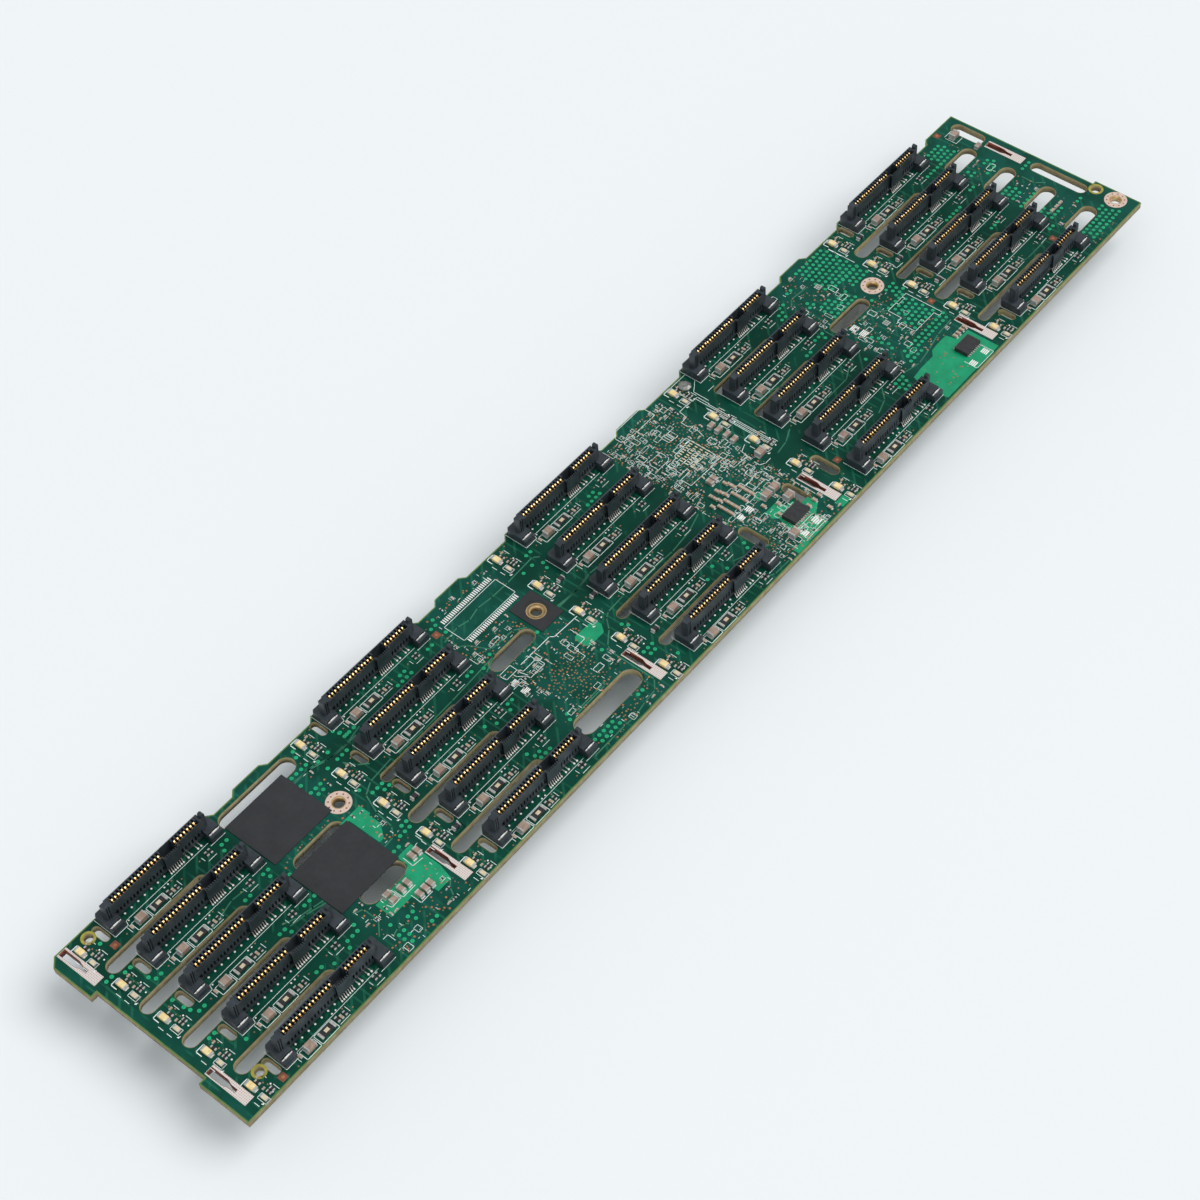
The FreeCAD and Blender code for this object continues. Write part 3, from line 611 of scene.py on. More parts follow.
def mouldedHousing():
    s = housing
    bar, k0, k1 = s["bar"], s["key"][0], s["key"][1]
    bm = bmesh.new()
    # end blocks: the body, a gap for the clip with low cheeks and floor, and a front strip
    for plan in (s["leftBlock"], s["rightBlock"]):
        x0, x1 = min(p[0] for p in plan), max(p[0] for p in plan)
        drawn(bm, "z", plan, 0.0, 3.1)
        slab(bm, x0, x1, -4.9, -4.05, 0.0, 2.7)
        slab(bm, x0, x0 + 0.35, -4.1, -3.1, 0.0, 2.6)
        slab(bm, x1 - 0.35, x1, -4.1, -3.1, 0.0, 2.6)
        slab(bm, x0 + 0.1, x1 - 0.1, -4.1, -3.1, 0.0, 0.9)
    # guide towers: the left one has flutes on its front, the right one is a rounded blade
    slab(bm, -19.9, -17.9, -1.25, 0.8, 2.0, 8.6)
    for x in s["flutes"]:
        slab(bm, x, x + 0.4, -1.65, -1.2, 2.0, 8.5)
    drawn(bm, "y", s["blade"], -0.75, 0.65)
    # the bar: floor, front wall with its lead-in bevel, back wall and ends
    slab(bm, -bar, bar, -0.9, 1.45, 0.0, s["floor"])
    for start, end in ((-bar, k0 + s["keyWall"]), (k1 - s["keyWall"], bar)):
        drawn(bm, "x", s["frontWall"], start, end)
    drawn(bm, "x", s["backWall"], -bar, bar)
    for side in (-1, 1):
        x0, x1 = sorted((side * bar, side * s["slotEnd"]))
        slab(bm, x0, x1, -1.45, 1.45, 0.5, 7.98)
    # the key's wall widens to its foot, and its rim is a row of fine teeth between two corner posts
    drawn(bm, "x", s["keyBulge"], k0, k1)
    for start in (k0, k1 - s["keyWall"]):
        slab(bm, start, start + s["keyWall"], -2.26, -1.2, 2.3, 7.99)
    for i in range(s["keyTeeth"]):
        slab(bm, k0 + 0.56 + 0.78 * i, k0 + 0.94 + 0.78 * i, -2.26, -1.8, 7.1, 7.97)
    slab(bm, -s["slotEnd"], s["slotEnd"], -1.62, -0.8, 0.9, 2.15)  # the foot below the comb
    softened(bm, s["edge"])
    made = bmesh.new()
    master = meshObject("housingBody", bm)
    made.from_mesh(master.data)
    bpy.data.objects.remove(master)
    # what repeats along the slot: ribs between the contacts, the comb's fingers and the teeth of the front wall
    for first, count, fingers, start in zip(s["places"], s["counts"], s["fingers"], s["fingerStarts"]):
        between = first - s["pitch"] / 2
        for name, width, walls, copies, place in (
                ("rib", s["ribWidth"], (0.15, 1.3, 2.5, 7.9), count + 1, between),
                ("finger", s["fingerWidth"], (-1.62, -0.8, 2.1, 4.1), fingers, start),
                ("tooth", s["toothWidth"], (-1.0, -0.6, 3.0, 6.9), count + 1, between)):
            single = bmesh.new()
            slab(single, -width / 2, width / 2, *walls)
            rowOf(made, meshObject(name, single), copies, s["pitch"] * mm, (place * mm, 0.0, 0.0))
    bmesh.ops.translate(made, vec=(s["x"] * mm, s["y"] * mm, 0.0), verts=made.verts)
    return meshObject("housingMaster", made, scale=1.0)


# Sprung contact: a leaf along (y, z) points; a few stand proud of the rest
leaf = {"centre": [(1.05, 2.9), (0.9, 4.2), (0.3, 5.6), (-0.05, 6.35), (-0.12, 6.65), (0.05, 6.95), (0.45, 7.25)],
        "halfThickness": 0.08, "halfWidth": 0.23, "proud": ((3, 11), ()), "proudLift": 0.45, "proudForward": 0.12}


def leafContact(lift):
    left, right = [], []
    for i, (y, z) in enumerate(leaf["centre"]):
        before, after = leaf["centre"][max(i - 1, 0)], leaf["centre"][min(i + 1, len(leaf["centre"]) - 1)]
        run = math.hypot(after[0] - before[0], after[1] - before[1]) / leaf["halfThickness"]
        ny, nz = -(after[1] - before[1]) / run, (after[0] - before[0]) / run
        left.append((y + ny, z + nz + lift))
        right.append((y - ny, z - nz + lift))
    bm = bmesh.new()
    drawn(bm, "x", left + right[::-1], -leaf["halfWidth"], leaf["halfWidth"])
    return meshObject("leaf", bm)


def contactComb():
    s = housing
    bm = bmesh.new()
    for first, count, proud in zip(s["places"], s["counts"], leaf["proud"]):
        rowOf(bm, leafContact(0.0), count, s["pitch"] * mm, (first * mm, 0.0, 0.0))
        for i in proud:
            place = ((first + i * s["pitch"]) * mm, -leaf["proudForward"] * mm, 0.0)
            rowOf(bm, leafContact(leaf["proudLift"]), 1, s["pitch"] * mm, place)
    bmesh.ops.translate(bm, vec=(s["x"] * mm, s["y"] * mm, 0.0), verts=bm.verts)
    return meshObject("contactMaster", bm, scale=1.0)


print("drive connectors")
connectorNodes = ["drive_connector_%d_%d" % (c + 1, r + 1) for c, r in cells]
contactNodes = ["drive_contacts_%d" % (c + 1) for c in range(bays["columns"])]
keep(everyBay("driveHousings", mouldedHousing(), "mouldedBlack"), "connector_plastic", *connectorNodes)
keep(everyBay("sprungContacts", contactComb(), "gold"), "contact_plating", *contactNodes)


# Small boxes in every bay, from (x0, x1, y0, y1, z0, z1) in mm
def bayBoxes(name, boxes, finish, slotName, replaced=(), bevel=0.0, rise=0.0):
    bm = bmesh.new()
    for box in boxes:
        slab(bm, *box)
    if bevel:
        softened(bm, bevel)
    return keep(everyBay(name, meshObject(name + "Master", bm), finish, rise), slotName, *replaced)


# Small discs in every bay, from (x, y, height, radius, sides) in mm
def bayDiscs(name, discs, finish, slotName, rise=0.0):
    bm = bmesh.new()
    for x, y, height, radius, sides in discs:
        disc(bm, x, y, 0.0, height, radius, sides)
    return keep(everyBay(name, meshObject(name + "Master", bm), finish, rise), slotName)


hx, hy = housing["x"], housing["y"]
clips = {"finish": "solder", "slotName": "contact_plating", "bevel": 0.04, "boxes": [
    (hx - 21.2, hx - 17.3, hy - 3.7, hy - 3.5, 1.7, 2.7), (hx + 17.3, hx + 21.2, hy - 3.7, hy - 3.5, 1.7, 2.7),
    (hx - 20.2, hx - 18.4, hy - 3.85, hy - 3.5, 2.2, 2.95), (hx + 18.4, hx + 20.2, hy - 3.85, hy - 3.5, 2.2, 2.95)]}
bayBoxes("holdDownClips", **clips)
tips = {"half": 0.2, "y": (hy - 0.62, hy - 0.42), "z": (6.75, 6.95)}
tipPlaces = [hx + first + i * housing["pitch"] for first, count in zip(housing["places"], housing["counts"])
             for i in range(count)]
bayBoxes("contactTips", [(x - tips["half"], x + tips["half"]) + tips["y"] + tips["z"] for x in tipPlaces], "gold",
         "contact_plating")

# Tails leave the foot of the housing: seven bend down to the board, four lie flat on it
tails = {"bent": [34.05 + 0.8 * i for i in range(7)], "flat": [40.75, 42.0, 44.5, 45.75], "half": 0.13,
         "bend": [(-0.4, 1.3), (-0.4, 1.5), (-0.9, 1.45), (-1.35, 0.3), (-1.85, 0.26), (-1.85, 0.06), (-1.25, 0.06),
                  (-0.8, 1.25)],
         "flatRun": (-1.8, 0.2, 0.04, 0.24), "tipY": -1.65, "tipHeight": 0.3, "bentTip": 0.26, "flatTip": 0.32}
bm = bmesh.new()
for x in tails["bent"]:
    drawn(bm, "x", tails["bend"], x - tails["half"], x + tails["half"])
for x in tails["flat"]:
    slab(bm, x - tails["half"], x + tails["half"], *tails["flatRun"])
keep(everyBay("contactTails", meshObject("tailMaster", bm), "tin"), "contact_plating")
tailDiscs = [(x, tails["tipY"], tails["tipHeight"], tails[kind + "Tip"], 8)
             for kind in ("bent", "flat") for x in tails[kind]]
bayDiscs("tailTips", tailDiscs, "solder", "contact_plating")
# Painted shade: thin near-black strips behind the comb's fingers, and a flat near-black strip on the board under the
# bent tails, standing in for the shade in these gaps
paintedShadeStrips = {"finish": "recess", "slotName": "connector_plastic", "boxes": [
    (hx - 16.8, hx + 2.0, hy - 0.98, hy - 0.86, 2.1, 4.1), (hx + 8.1, hx + 16.8, hy - 0.98, hy - 0.86, 2.1, 4.1),
    (33.6, 39.3, -1.25, 0.3, 0.0, 0.1)]}
bayBoxes("combRecess", **paintedShadeStrips)

# Status lights, capacitors and resistors of a bay
firstRise = 1.2  # in the first row, the group below the connector sits higher than in the others
bayPieces = {
    "statusLights": {
        "finish": "lens", "slotName": "light_body", "replaced": ["status_lights"], "bevel": 0.12,
        "boxes": [(-0.35, 1.55, -1.15, 1.15, 0.0, 1.1), (-0.15, 1.35, -1.45, 1.45, 0.1, 0.75)]},
    "lightEnds": {
        "finish": "tin", "slotName": "light_body", "bevel": 0.05,
        "boxes": [(-0.35, 1.55, 1.1, 1.8, 0.0, 0.85), (-0.35, 1.55, -1.8, -1.1, 0.0, 0.85),
                  (-0.1, 1.3, 1.7, 2.15, 0.0, 0.1), (-0.1, 1.3, -2.15, -1.7, 0.0, 0.1),
                  (-0.2, 1.05, -4.3, -3.85, 0.0, 0.5), (-0.2, 1.05, -6.2, -5.8, 0.0, 0.5),
                  (-0.25, 1.15, -6.75, -6.45, 0.0, 0.1)]},
    "secondLights": {
        "finish": "cream", "slotName": "light_body", "bevel": 0.08, "boxes": [(-0.2, 1.05, -5.85, -4.25, 0.0, 0.6)]},
    "bulkCapacitors": {
        "finish": "ceramic", "slotName": "capacitor_body", "replaced": ["bulk_capacitors"], "bevel": 0.14,
        "rise": firstRise, "boxes": [(17.35, 19.85, -6.8, -4.4, 0.0, 2.0)]},
    "capacitorEnds": {
        "finish": "tin", "slotName": "capacitor_body", "bevel": 0.08, "rise": firstRise,
        "boxes": [(17.0, 17.45, -6.8, -4.4, 0.0, 1.97), (19.75, 20.2, -6.8, -4.4, 0.0, 1.97),
                  (16.7, 17.1, -6.7, -4.5, 0.0, 0.14), (20.1, 20.5, -6.7, -4.5, 0.0, 0.14)]},
    "resistorBodies": {
        "finish": "chip", "slotName": "chip_body", "bevel": 0.06, "rise": firstRise,
        "boxes": [(23.0, 27.1, -6.75, -4.5, 0.0, 0.6)]},
    "resistorMarks": {
        "finish": "cream", "slotName": "board", "rise": firstRise,
        "boxes": [(24.3, 25.8, -6.2, -5.1, 0.5, 0.64), (24.6, 25.5, -6.0, -5.3, 0.5, 0.66)]},
    "resistorEnds": {
        "finish": "tin", "slotName": "contact_plating", "bevel": 0.06, "rise": firstRise,
        "boxes": [(22.3, 23.1, -6.75, -4.5, 0.0, 0.62), (27.0, 27.8, -6.75, -4.5, 0.0, 0.62)]}}
for name, piece in bayPieces.items():
    bayBoxes(name, **piece)


# A chip part with two tinned ends, standing along the rows or upright
def tinyPart(ends, bodies, x, y, length, width, upright):
    half, end = length / 2, length * tinySizes["endShare"]
    low, high = tinySizes["bodyHeight"], tinySizes["endHeight"]
    for boxes, start, stop, height in ((bodies, end - half, half - end, low), (ends, -half, end - half, high),
                                       (ends, half - end, half, high)):
        if upright:
            boxes.append((x - width / 2, x + width / 2, y + start, y + stop, 0.0, height))
        else:
            boxes.append((x + start, x + stop, y - width / 2, y + width / 2, 0.0, height))


# Parts are (x, y, length, width, upright, dark)
tinySizes = {"endShare": 0.25, "bodyHeight": 0.41, "endHeight": 0.45, "bevel": 0.04}
tinyGroups = {
    "Beside": (0.0, (
        (2.5, -0.5, 2.0, 0.8, True, True), (2.4, -4.8, 1.6, 0.9, True, True), (3.6, -4.8, 1.6, 0.9, True, True),
        (2.2, -3.0, 1.0, 0.6, False, False), (3.7, 0.7, 1.1, 0.6, False, False))),
    "Below": (firstRise, (
        (15.0, -5.3, 1.6, 0.8, True, False), (29.2, -5.6, 2.0, 0.9, True, True), (30.5, -5.9, 1.6, 0.8, True, False),
        (31.9, -5.9, 1.6, 0.8, True, True), (44.75, -4.9, 1.7, 0.85, True, True), (46.1, -4.9, 1.9, 0.75, True, True)))}
for group, (rise, parts) in tinyGroups.items():
    ends, bodies, darkBodies = [], [], []
    for x, y, length, width, upright, dark in parts:
        tinyPart(ends, darkBodies if dark else bodies, x, y, length, width, upright)
    for name, boxes, finish, slotName in (("tinyEnds", ends, "tin", "contact_plating"),
                                          ("tinyBodies", bodies, "tanCeramic", "capacitor_body"),
                                          ("tinyDarkBodies", darkBodies, "chip", "chip_body")):
        bayBoxes(name + group, boxes, finish, slotName, bevel=tinySizes["bevel"], rise=rise)

# Solder joints of a bay, and its small open vias
bayJoints = {
    "solderJoints": {
        "finish": "solder", "slotName": "contact_plating",
        "discs": [(16.9 + 2.54 * i, -0.6, 0.14, 0.3, 10) for i in range(7)] + [(4.4, -3.4, 0.08, 0.26, 8)]},
    "solderDots": {
        "finish": "solder", "slotName": "contact_plating", "rise": firstRise,
        "discs": [(x, y, 0.08, 0.26, 8) for x, y in (
            (-1.1, -7.2), (3.1, -6.7), (29.6, -3.2), (31.0, -3.2), (16.0, -3.0))]},
    "bayCopperDots": {
        "finish": "tanDot", "slotName": "board",
        "discs": [(x, y, 0.03, 0.24, 8) for x, y in (
            (3.4, -1.6), (3.9, 1.6), (4.5, -0.2), (3.8, -2.9), (32.4, -3.1), (34.6, -5.0), (41.8, -4.9), (6.3, 1.9),
            (12.7, -5.7))]}}
for name, piece in bayJoints.items():
    bayDiscs(name, **piece)


# Printed lines: flat ribbons along a route, in mm
def ribbon(bm, points, width, height):
    for (xa, ya), (xb, yb) in zip(points, points[1:]):
        run = math.hypot(xb - xa, yb - ya)
        if run < 0.001:
            continue
        ux, uy = (xb - xa) / run * width / 2, (yb - ya) / run * width / 2
        corners = [(xa - ux + uy, ya - uy - ux), (xb + ux + uy, yb + uy - ux), (xb + ux - uy, yb + uy + ux),
                   (xa - ux - uy, ya - uy + ux)]
        drawn(bm, "z", corners, 0.0, height)


def frameOf(x0, x1, y0, y1):
    return [(x0, y0), (x1, y0), (x1, y1), (x0, y1), (x0, y0)]


printing = {"height": 0.03, "outlineWidth": 0.17, "brightWidth": 0.22, "traceWidth": 0.42, "traceHeight": 0.014}
printedGroups = {
    "Beside": (0.0, (
        ([(-1.25, 0.4), (-1.25, 2.5), (1.65, 2.5), (1.65, 0.4)], 0.27), (frameOf(-0.7, 1.2, -6.6, -3.4), 0.15),
        ([(-0.7, -6.6), (1.2, -6.6)], 0.28), ([(10.0, -4.0), (10.0, 4.6)], 0.18),
        ([(9.95, -4.0), (14.9, -4.0), (15.4, -2.5)], 0.18), ([(47.5, -3.8), (53.1, -3.8)], 0.18),
        ([(15.4, -2.5), (47.6, -2.45)], 0.14), ([(-2.2, -2.4), (-2.2, -0.6)], 0.18),
        ([(-2.2, -5.6), (-2.2, -3.9)], 0.18), ([(5.0, -1.2), (5.0, 0.9)], 0.16), ([(4.8, -6.2), (4.8, -4.1)], 0.16))),
    "Below": (firstRise, (
        (frameOf(15.6, 21.05, -7.55, -4.3), 0.2), (frameOf(21.5, 28.1, -7.55, -4.0), 0.18),
        ([(-1.3, -6.9), (-0.6, -7.4)], 0.2), ([(14.1, -4.4), (14.1, -6.6)], 0.16), ([(28.8, -7.2), (32.5, -7.2)], 0.16),
        ([(43.6, -6.9), (46.6, -6.9)], 0.16), ([(33.3, -6.4), (33.3, -4.4)], 0.16),
        ([(42.9, -6.0), (42.9, -4.6)], 0.16)))}
for group, (rise, routes) in printedGroups.items():
    printed = bmesh.new()
    for route, width in routes:
        ribbon(printed, route, width, printing["height"])
    keep(everyBay("printedLines" + group, meshObject("printMaster", printed), "print", rise), "board")

# Places on the board: vias are (x, y, how many along), fields are (x0, y0, x1, y1), and routes hold (x, y) points
coveredVias = [(-1.3, 53.4, 2), (3.9, 51.5, 2), (5.9, 63.5, 1), (7.8, 43.4, 2), (6.8, 45.3, 1), (5.9, 35.1, 1),
    (6.3, 31.1, 1), (6.8, 29.1, 1), (8.1, 27.0, 2), (3.9, 19.0, 2), (6.8, 13.0, 1), (9.9, 11.0, 1), (48.7, 57.7, 1),
    (49.6, 59.7, 2), (49.8, 43.5, 2), (50.6, 41.5, 1), (40.6, 41.5, 2), (38.7, 26.3, 2), (41.3, 24.3, 1),
    (49.6, 27.3, 3), (36.3, 10.1, 2), (41.3, 8.1, 1), (48.7, 10.1, 3), (47.5, 8.1, 1), (53.5, 12.2, 1),
    (54.4, 37.6, 1), (78.2, 59.7, 4), (85.2, 65.9, 1), (84.3, 63.7, 1), (78.0, 55.8, 1), (78.0, 51.8, 3),
    (79.1, 49.8, 2), (87.2, 57.7, 1), (91.3, 57.7, 1), (87.2, 53.8, 1), (91.3, 53.8, 3), (87.2, 41.4, 1),
    (78.0, 19.5, 2), (85.7, 23.6, 2), (82.9, 21.6, 3), (59.7, 4.2, 1), (64.7, 2.2, 2), (58.8, 0.1, 2), (65.7, 0.1, 1),
    (58.8, -1.9, 2), (59.7, -4.0, 1), (67.8, -4.0, 2), (89.0, 37.8, 3), (91.9, 35.8, 2), (97.7, 61.7, 1),
    (98.7, 59.7, 1), (99.4, 57.7, 1), (98.5, 57.7, 3), (98.4, 59.7, 1), (124.8, 59.7, 2), (121.7, 57.7, 4),
    (137.2, 59.7, 2), (136.9, 43.7, 2), (146.4, 65.9, 1), (143.4, 63.9, 2), (145.4, 59.7, 1), (147.1, 43.7, 1),
    (142.1, 41.7, 1), (126.2, 27.5, 1), (136.5, 27.5, 2), (129.3, 25.5, 1), (135.4, 25.5, 1), (126.3, 11.4, 1),
    (127.3, 9.2, 2), (128.0, 7.4, 3), (144.4, 11.4, 1), (143.4, 9.4, 1), (142.4, -0.9, 5), (143.4, -2.9, 5),
    (162.7, -0.7, 2), (177.0, 55.8, 1), (181.0, 55.8, 1), (183.9, 53.8, 1), (183.1, 51.6, 1), (162.2, 37.8, 1),
    (180.0, 19.6, 1), (181.0, 17.8, 1), (168.9, 18.2, 1), (175.9, 7.8, 3), (176.8, 5.8, 2), (181.8, -0.5, 1),
    (182.8, 59.7, 2), (213.2, 59.7, 2), (210.2, 57.7, 4), (214.3, 11.7, 1), (216.5, 7.6, 1), (209.3, 9.6, 1),
    (227.6, 9.6, 1), (226.7, 7.6, 1), (315.6, 61.6, 2), (312.7, 59.7, 2), (311.8, 57.7, 2), (303.5, 41.4, 2),
    (310.7, 43.4, 3), (313.8, 41.4, 1), (313.8, 25.2, 1), (310.7, 11.2, 3), (310.0, 9.2, 3), (310.7, 7.2, 2),
    (322.6, 63.7, 2), (323.0, 55.6, 1), (321.9, 53.7, 2), (337.1, 39.3, 1), (384.2, 41.4, 5), (401.5, 43.5, 2),
    (412.3, 43.5, 3), (419.5, 35.1, 4), (406.7, 33.5, 3), (407.6, 31.4, 3), (406.7, 29.2, 3), (405.2, 25.0, 5),
    (390.0, 27.0, 3), (415.9, 47.3, 2), (416.9, 45.3, 2), (405.8, 15.7, 3), (406.7, 13.5, 4), (401.5, 11.0, 2),
    (418.8, 11.0, 2)]
viaFields = [(331.6, 54.2, 348.1, 66.4), (333.0, 52.4, 348.1, 54.2), (338.8, 48.0, 348.1, 52.4),
    (323.0, 44.1, 328.7, 52.0), (328.7, 44.1, 335.9, 49.1), (343.5, 33.7, 348.1, 38.3), (337.0, 20.0, 346.3, 32.2),
    (334.8, 20.0, 337.3, 25.8), (322.6, 20.7, 325.1, 30.1), (323.0, 14.6, 347.4, 17.5), (321.5, 12.4, 328.7, 14.6),
    (406.2, 58.5, 415.5, 66.0), (397.9, 58.5, 406.5, 60.3), (407.3, 46.6, 410.1, 50.2), (406.5, 17.5, 410.1, 19.3),
    (406.5, -3.7, 423.1, 3.1)]
brightAreas = [[(74.9, 37.8), (83.4, 37.8), (83.4, 33.5), (82.7, 33.5), (82.7, 29.0), (79.6, 24.8), (77.8, 24.8),
    (77.8, 36.5), (76.5, 37.0)], [(77.1, 17.5), (82.7, 17.5), (82.7, 6.2), (81.4, 0.9), (76.0, 0.9), (76.0, 3.6),
    (70.3, 3.6), (70.3, 5.6), (61.8, 5.6), (61.8, 11.7), (73.9, 11.7), (77.1, 13.5)], [(166.9, 26.8), (167.7, 27.7),
    (174.6, 27.5), (176.4, 26.0), (176.4, 24.5), (174.4, 21.9), (168.0, 21.9), (166.9, 23.2)], [(243.8, 18.4),
    (249.2, 18.4), (249.2, 16.0), (243.8, 16.0)], [(240.8, 11.7), (247.4, 11.7), (247.4, 8.5), (250.3, 7.8),
    (250.3, 5.3), (254.6, 5.3), (254.6, 1.3), (250.7, -0.9), (250.3, -6.0), (240.2, -6.0), (240.2, 1.3), (242.0, 7.0),
    (240.8, 8.5)], [(257.9, -3.0), (261.8, -3.0), (261.8, -6.0), (257.9, -6.0)], [(234.5, -4.1), (240.2, -4.1),
    (240.2, -6.3), (234.5, -6.3)], [(315.8, -5.8), (315.6, -3.7), (316.8, -0.1), (317.9, 1.3), (317.9, 3.8),
    (316.1, 6.5), (316.5, 8.1), (321.2, 8.6), (328.0, 8.6), (330.2, 10.3), (333.7, 10.6), (338.4, 10.6), (339.1, 7.8),
    (342.0, 6.3), (344.9, 6.3), (344.9, -5.8)]]
printedOutlines = [[(146.4, 61.2), (169.9, 61.2), (169.9, 53.1), (146.4, 53.1), (146.4, 61.2)], [(143.0, 36.2),
    (147.7, 36.2), (147.7, 33.4), (143.1, 33.4), (142.8, 34.2), (142.8, 35.8), (143.0, 36.2)], [(147.7, 33.4),
    (148.5, 31.6), (154.5, 31.6), (154.5, 28.3), (148.0, 28.3), (147.7, 29.7), (145.7, 31.9), (145.7, 33.1)],
    [(169.0, 30.6), (169.0, 24.9), (164.1, 24.9), (164.1, 20.6), (162.2, 20.6)], [(141.7, 29.5), (145.3, 29.5),
    (145.7, 27.2)], [(238.8, 70.2), (251.4, 70.2), (252.7, 68.9), (252.7, 64.7), (240.7, 64.7), (240.7, 65.3),
    (237.0, 65.3), (237.0, 68.2), (238.8, 70.2)], [(241.3, 23.9), (244.2, 23.9), (244.8, 23.3), (250.3, 23.3),
    (251.0, 23.9), (252.8, 23.7), (254.6, 22.7), (254.6, 20.6), (253.9, 20.1), (241.2, 20.1), (241.0, 21.4),
    (241.0, 23.2), (241.3, 23.9)], [(252.5, 20.1), (253.9, 20.1), (253.9, 18.8), (252.5, 18.8), (252.5, 20.1)],
    [(247.8, 50.6), (251.0, 50.6), (251.0, 38.7), (247.8, 38.1), (247.8, 36.5), (236.1, 36.9), (236.1, 40.9),
    (240.6, 40.9), (241.0, 42.3), (238.1, 42.3), (238.1, 47.8), (242.5, 47.8), (242.8, 48.8), (251.0, 49.1)],
    [(235.0, 52.9), (236.3, 53.7), (237.4, 53.4), (241.1, 53.3), (241.1, 49.8), (240.1, 49.1), (235.0, 49.1),
    (235.0, 52.9)], [(229.8, 57.0), (230.9, 57.0), (234.1, 56.5), (234.1, 52.5), (233.0, 51.8), (233.0, 50.7),
    (230.2, 50.7)], [(235.0, 47.7), (235.0, 45.2), (237.0, 45.0), (237.0, 43.0)], [(263.6, 59.2), (258.6, 59.2),
    (258.2, 56.0), (255.2, 55.8), (255.2, 53.1), (255.7, 52.9), (255.7, 49.1), (255.0, 46.6)], [(264.7, 68.2),
    (264.7, 58.8), (267.2, 58.7), (267.2, 53.9)], [(265.1, 58.5), (265.1, 53.8), (265.6, 48.8), (265.6, 26.8)],
    [(266.9, 53.9), (266.9, 26.8)], [(250.3, 35.1), (250.3, 30.8), (256.8, 30.4), (257.1, 32.9), (260.0, 34.0)],
    [(246.0, 35.1), (246.0, 36.9), (250.7, 36.9), (250.7, 39.4)], [(256.1, 27.2), (256.1, 25.0), (257.9, 24.0),
    (260.4, 24.0)], [(237.0, 62.1), (237.0, 64.6), (238.4, 64.6)], [(240.5, 6.3), (240.5, 1.4)], [(235.8, -4.8),
    (235.8, -0.1), (240.6, -0.1)], [(240.8, -5.0), (250.0, -5.0), (250.0, -0.1), (240.8, -0.1)], [(257.1, 13.5),
    (257.1, 4.2)], [(230.0, 67.8), (230.0, 63.5), (232.0, 63.5)], [(334.0, 26.8), (336.4, 26.8), (336.4, 32.2),
    (346.7, 32.2), (346.7, 17.5), (344.8, 17.5), (344.8, 19.6), (334.0, 19.6), (334.0, 26.8)], [(332.3, -0.9),
    (332.3, -5.9), (341.8, -5.9), (341.8, -0.1)], [(348.4, 65.3), (348.4, 54.5)], [(272.6, 68.0), (265.1, 68.0),
    (265.1, 65.3), (265.1, 26.8)], [(268.3, 54.9), (268.3, 61.0), (270.5, 62.4), (272.6, 63.9)], [(271.5, 57.5),
    (274.4, 57.5)], [(266.3, 58.8), (266.3, 48.8), (266.3, 26.8)], [(419.1, 66.0), (423.1, 66.0), (423.1, 65.5)],
    [(418.6, 65.3), (418.6, 60.8), (422.4, 60.8)], [(354.8, 43.2), (354.8, 41.6), (358.0, 41.4)], [(356.5, 25.4),
    (360.1, 25.4), (360.1, 29.0)], [(85.7, 15.7), (85.7, 18.2)], [(55.2, 2.7), (57.0, 2.7), (57.0, -0.1)],
    [(142.1, 47.3), (142.1, 44.1), (144.9, 44.1), (144.9, 47.3)], [(63.8, 10.6), (63.8, 11.7), (68.1, 11.7),
    (68.1, 7.8), (64.2, 7.6), (63.8, 9.2)], [(68.5, 10.6), (68.5, 7.4), (73.5, 7.4)], [(70.3, 6.0), (70.3, 2.2),
    (74.9, 2.2)], [(78.0, 16.0), (77.8, 12.1), (81.4, 11.7)], [(92.2, 11.7), (96.7, 11.7), (96.7, 9.2), (93.1, 9.2),
    (93.1, 11.7)], [(93.1, 12.4), (93.1, 9.2), (96.7, 9.2), (96.7, 12.4)]]
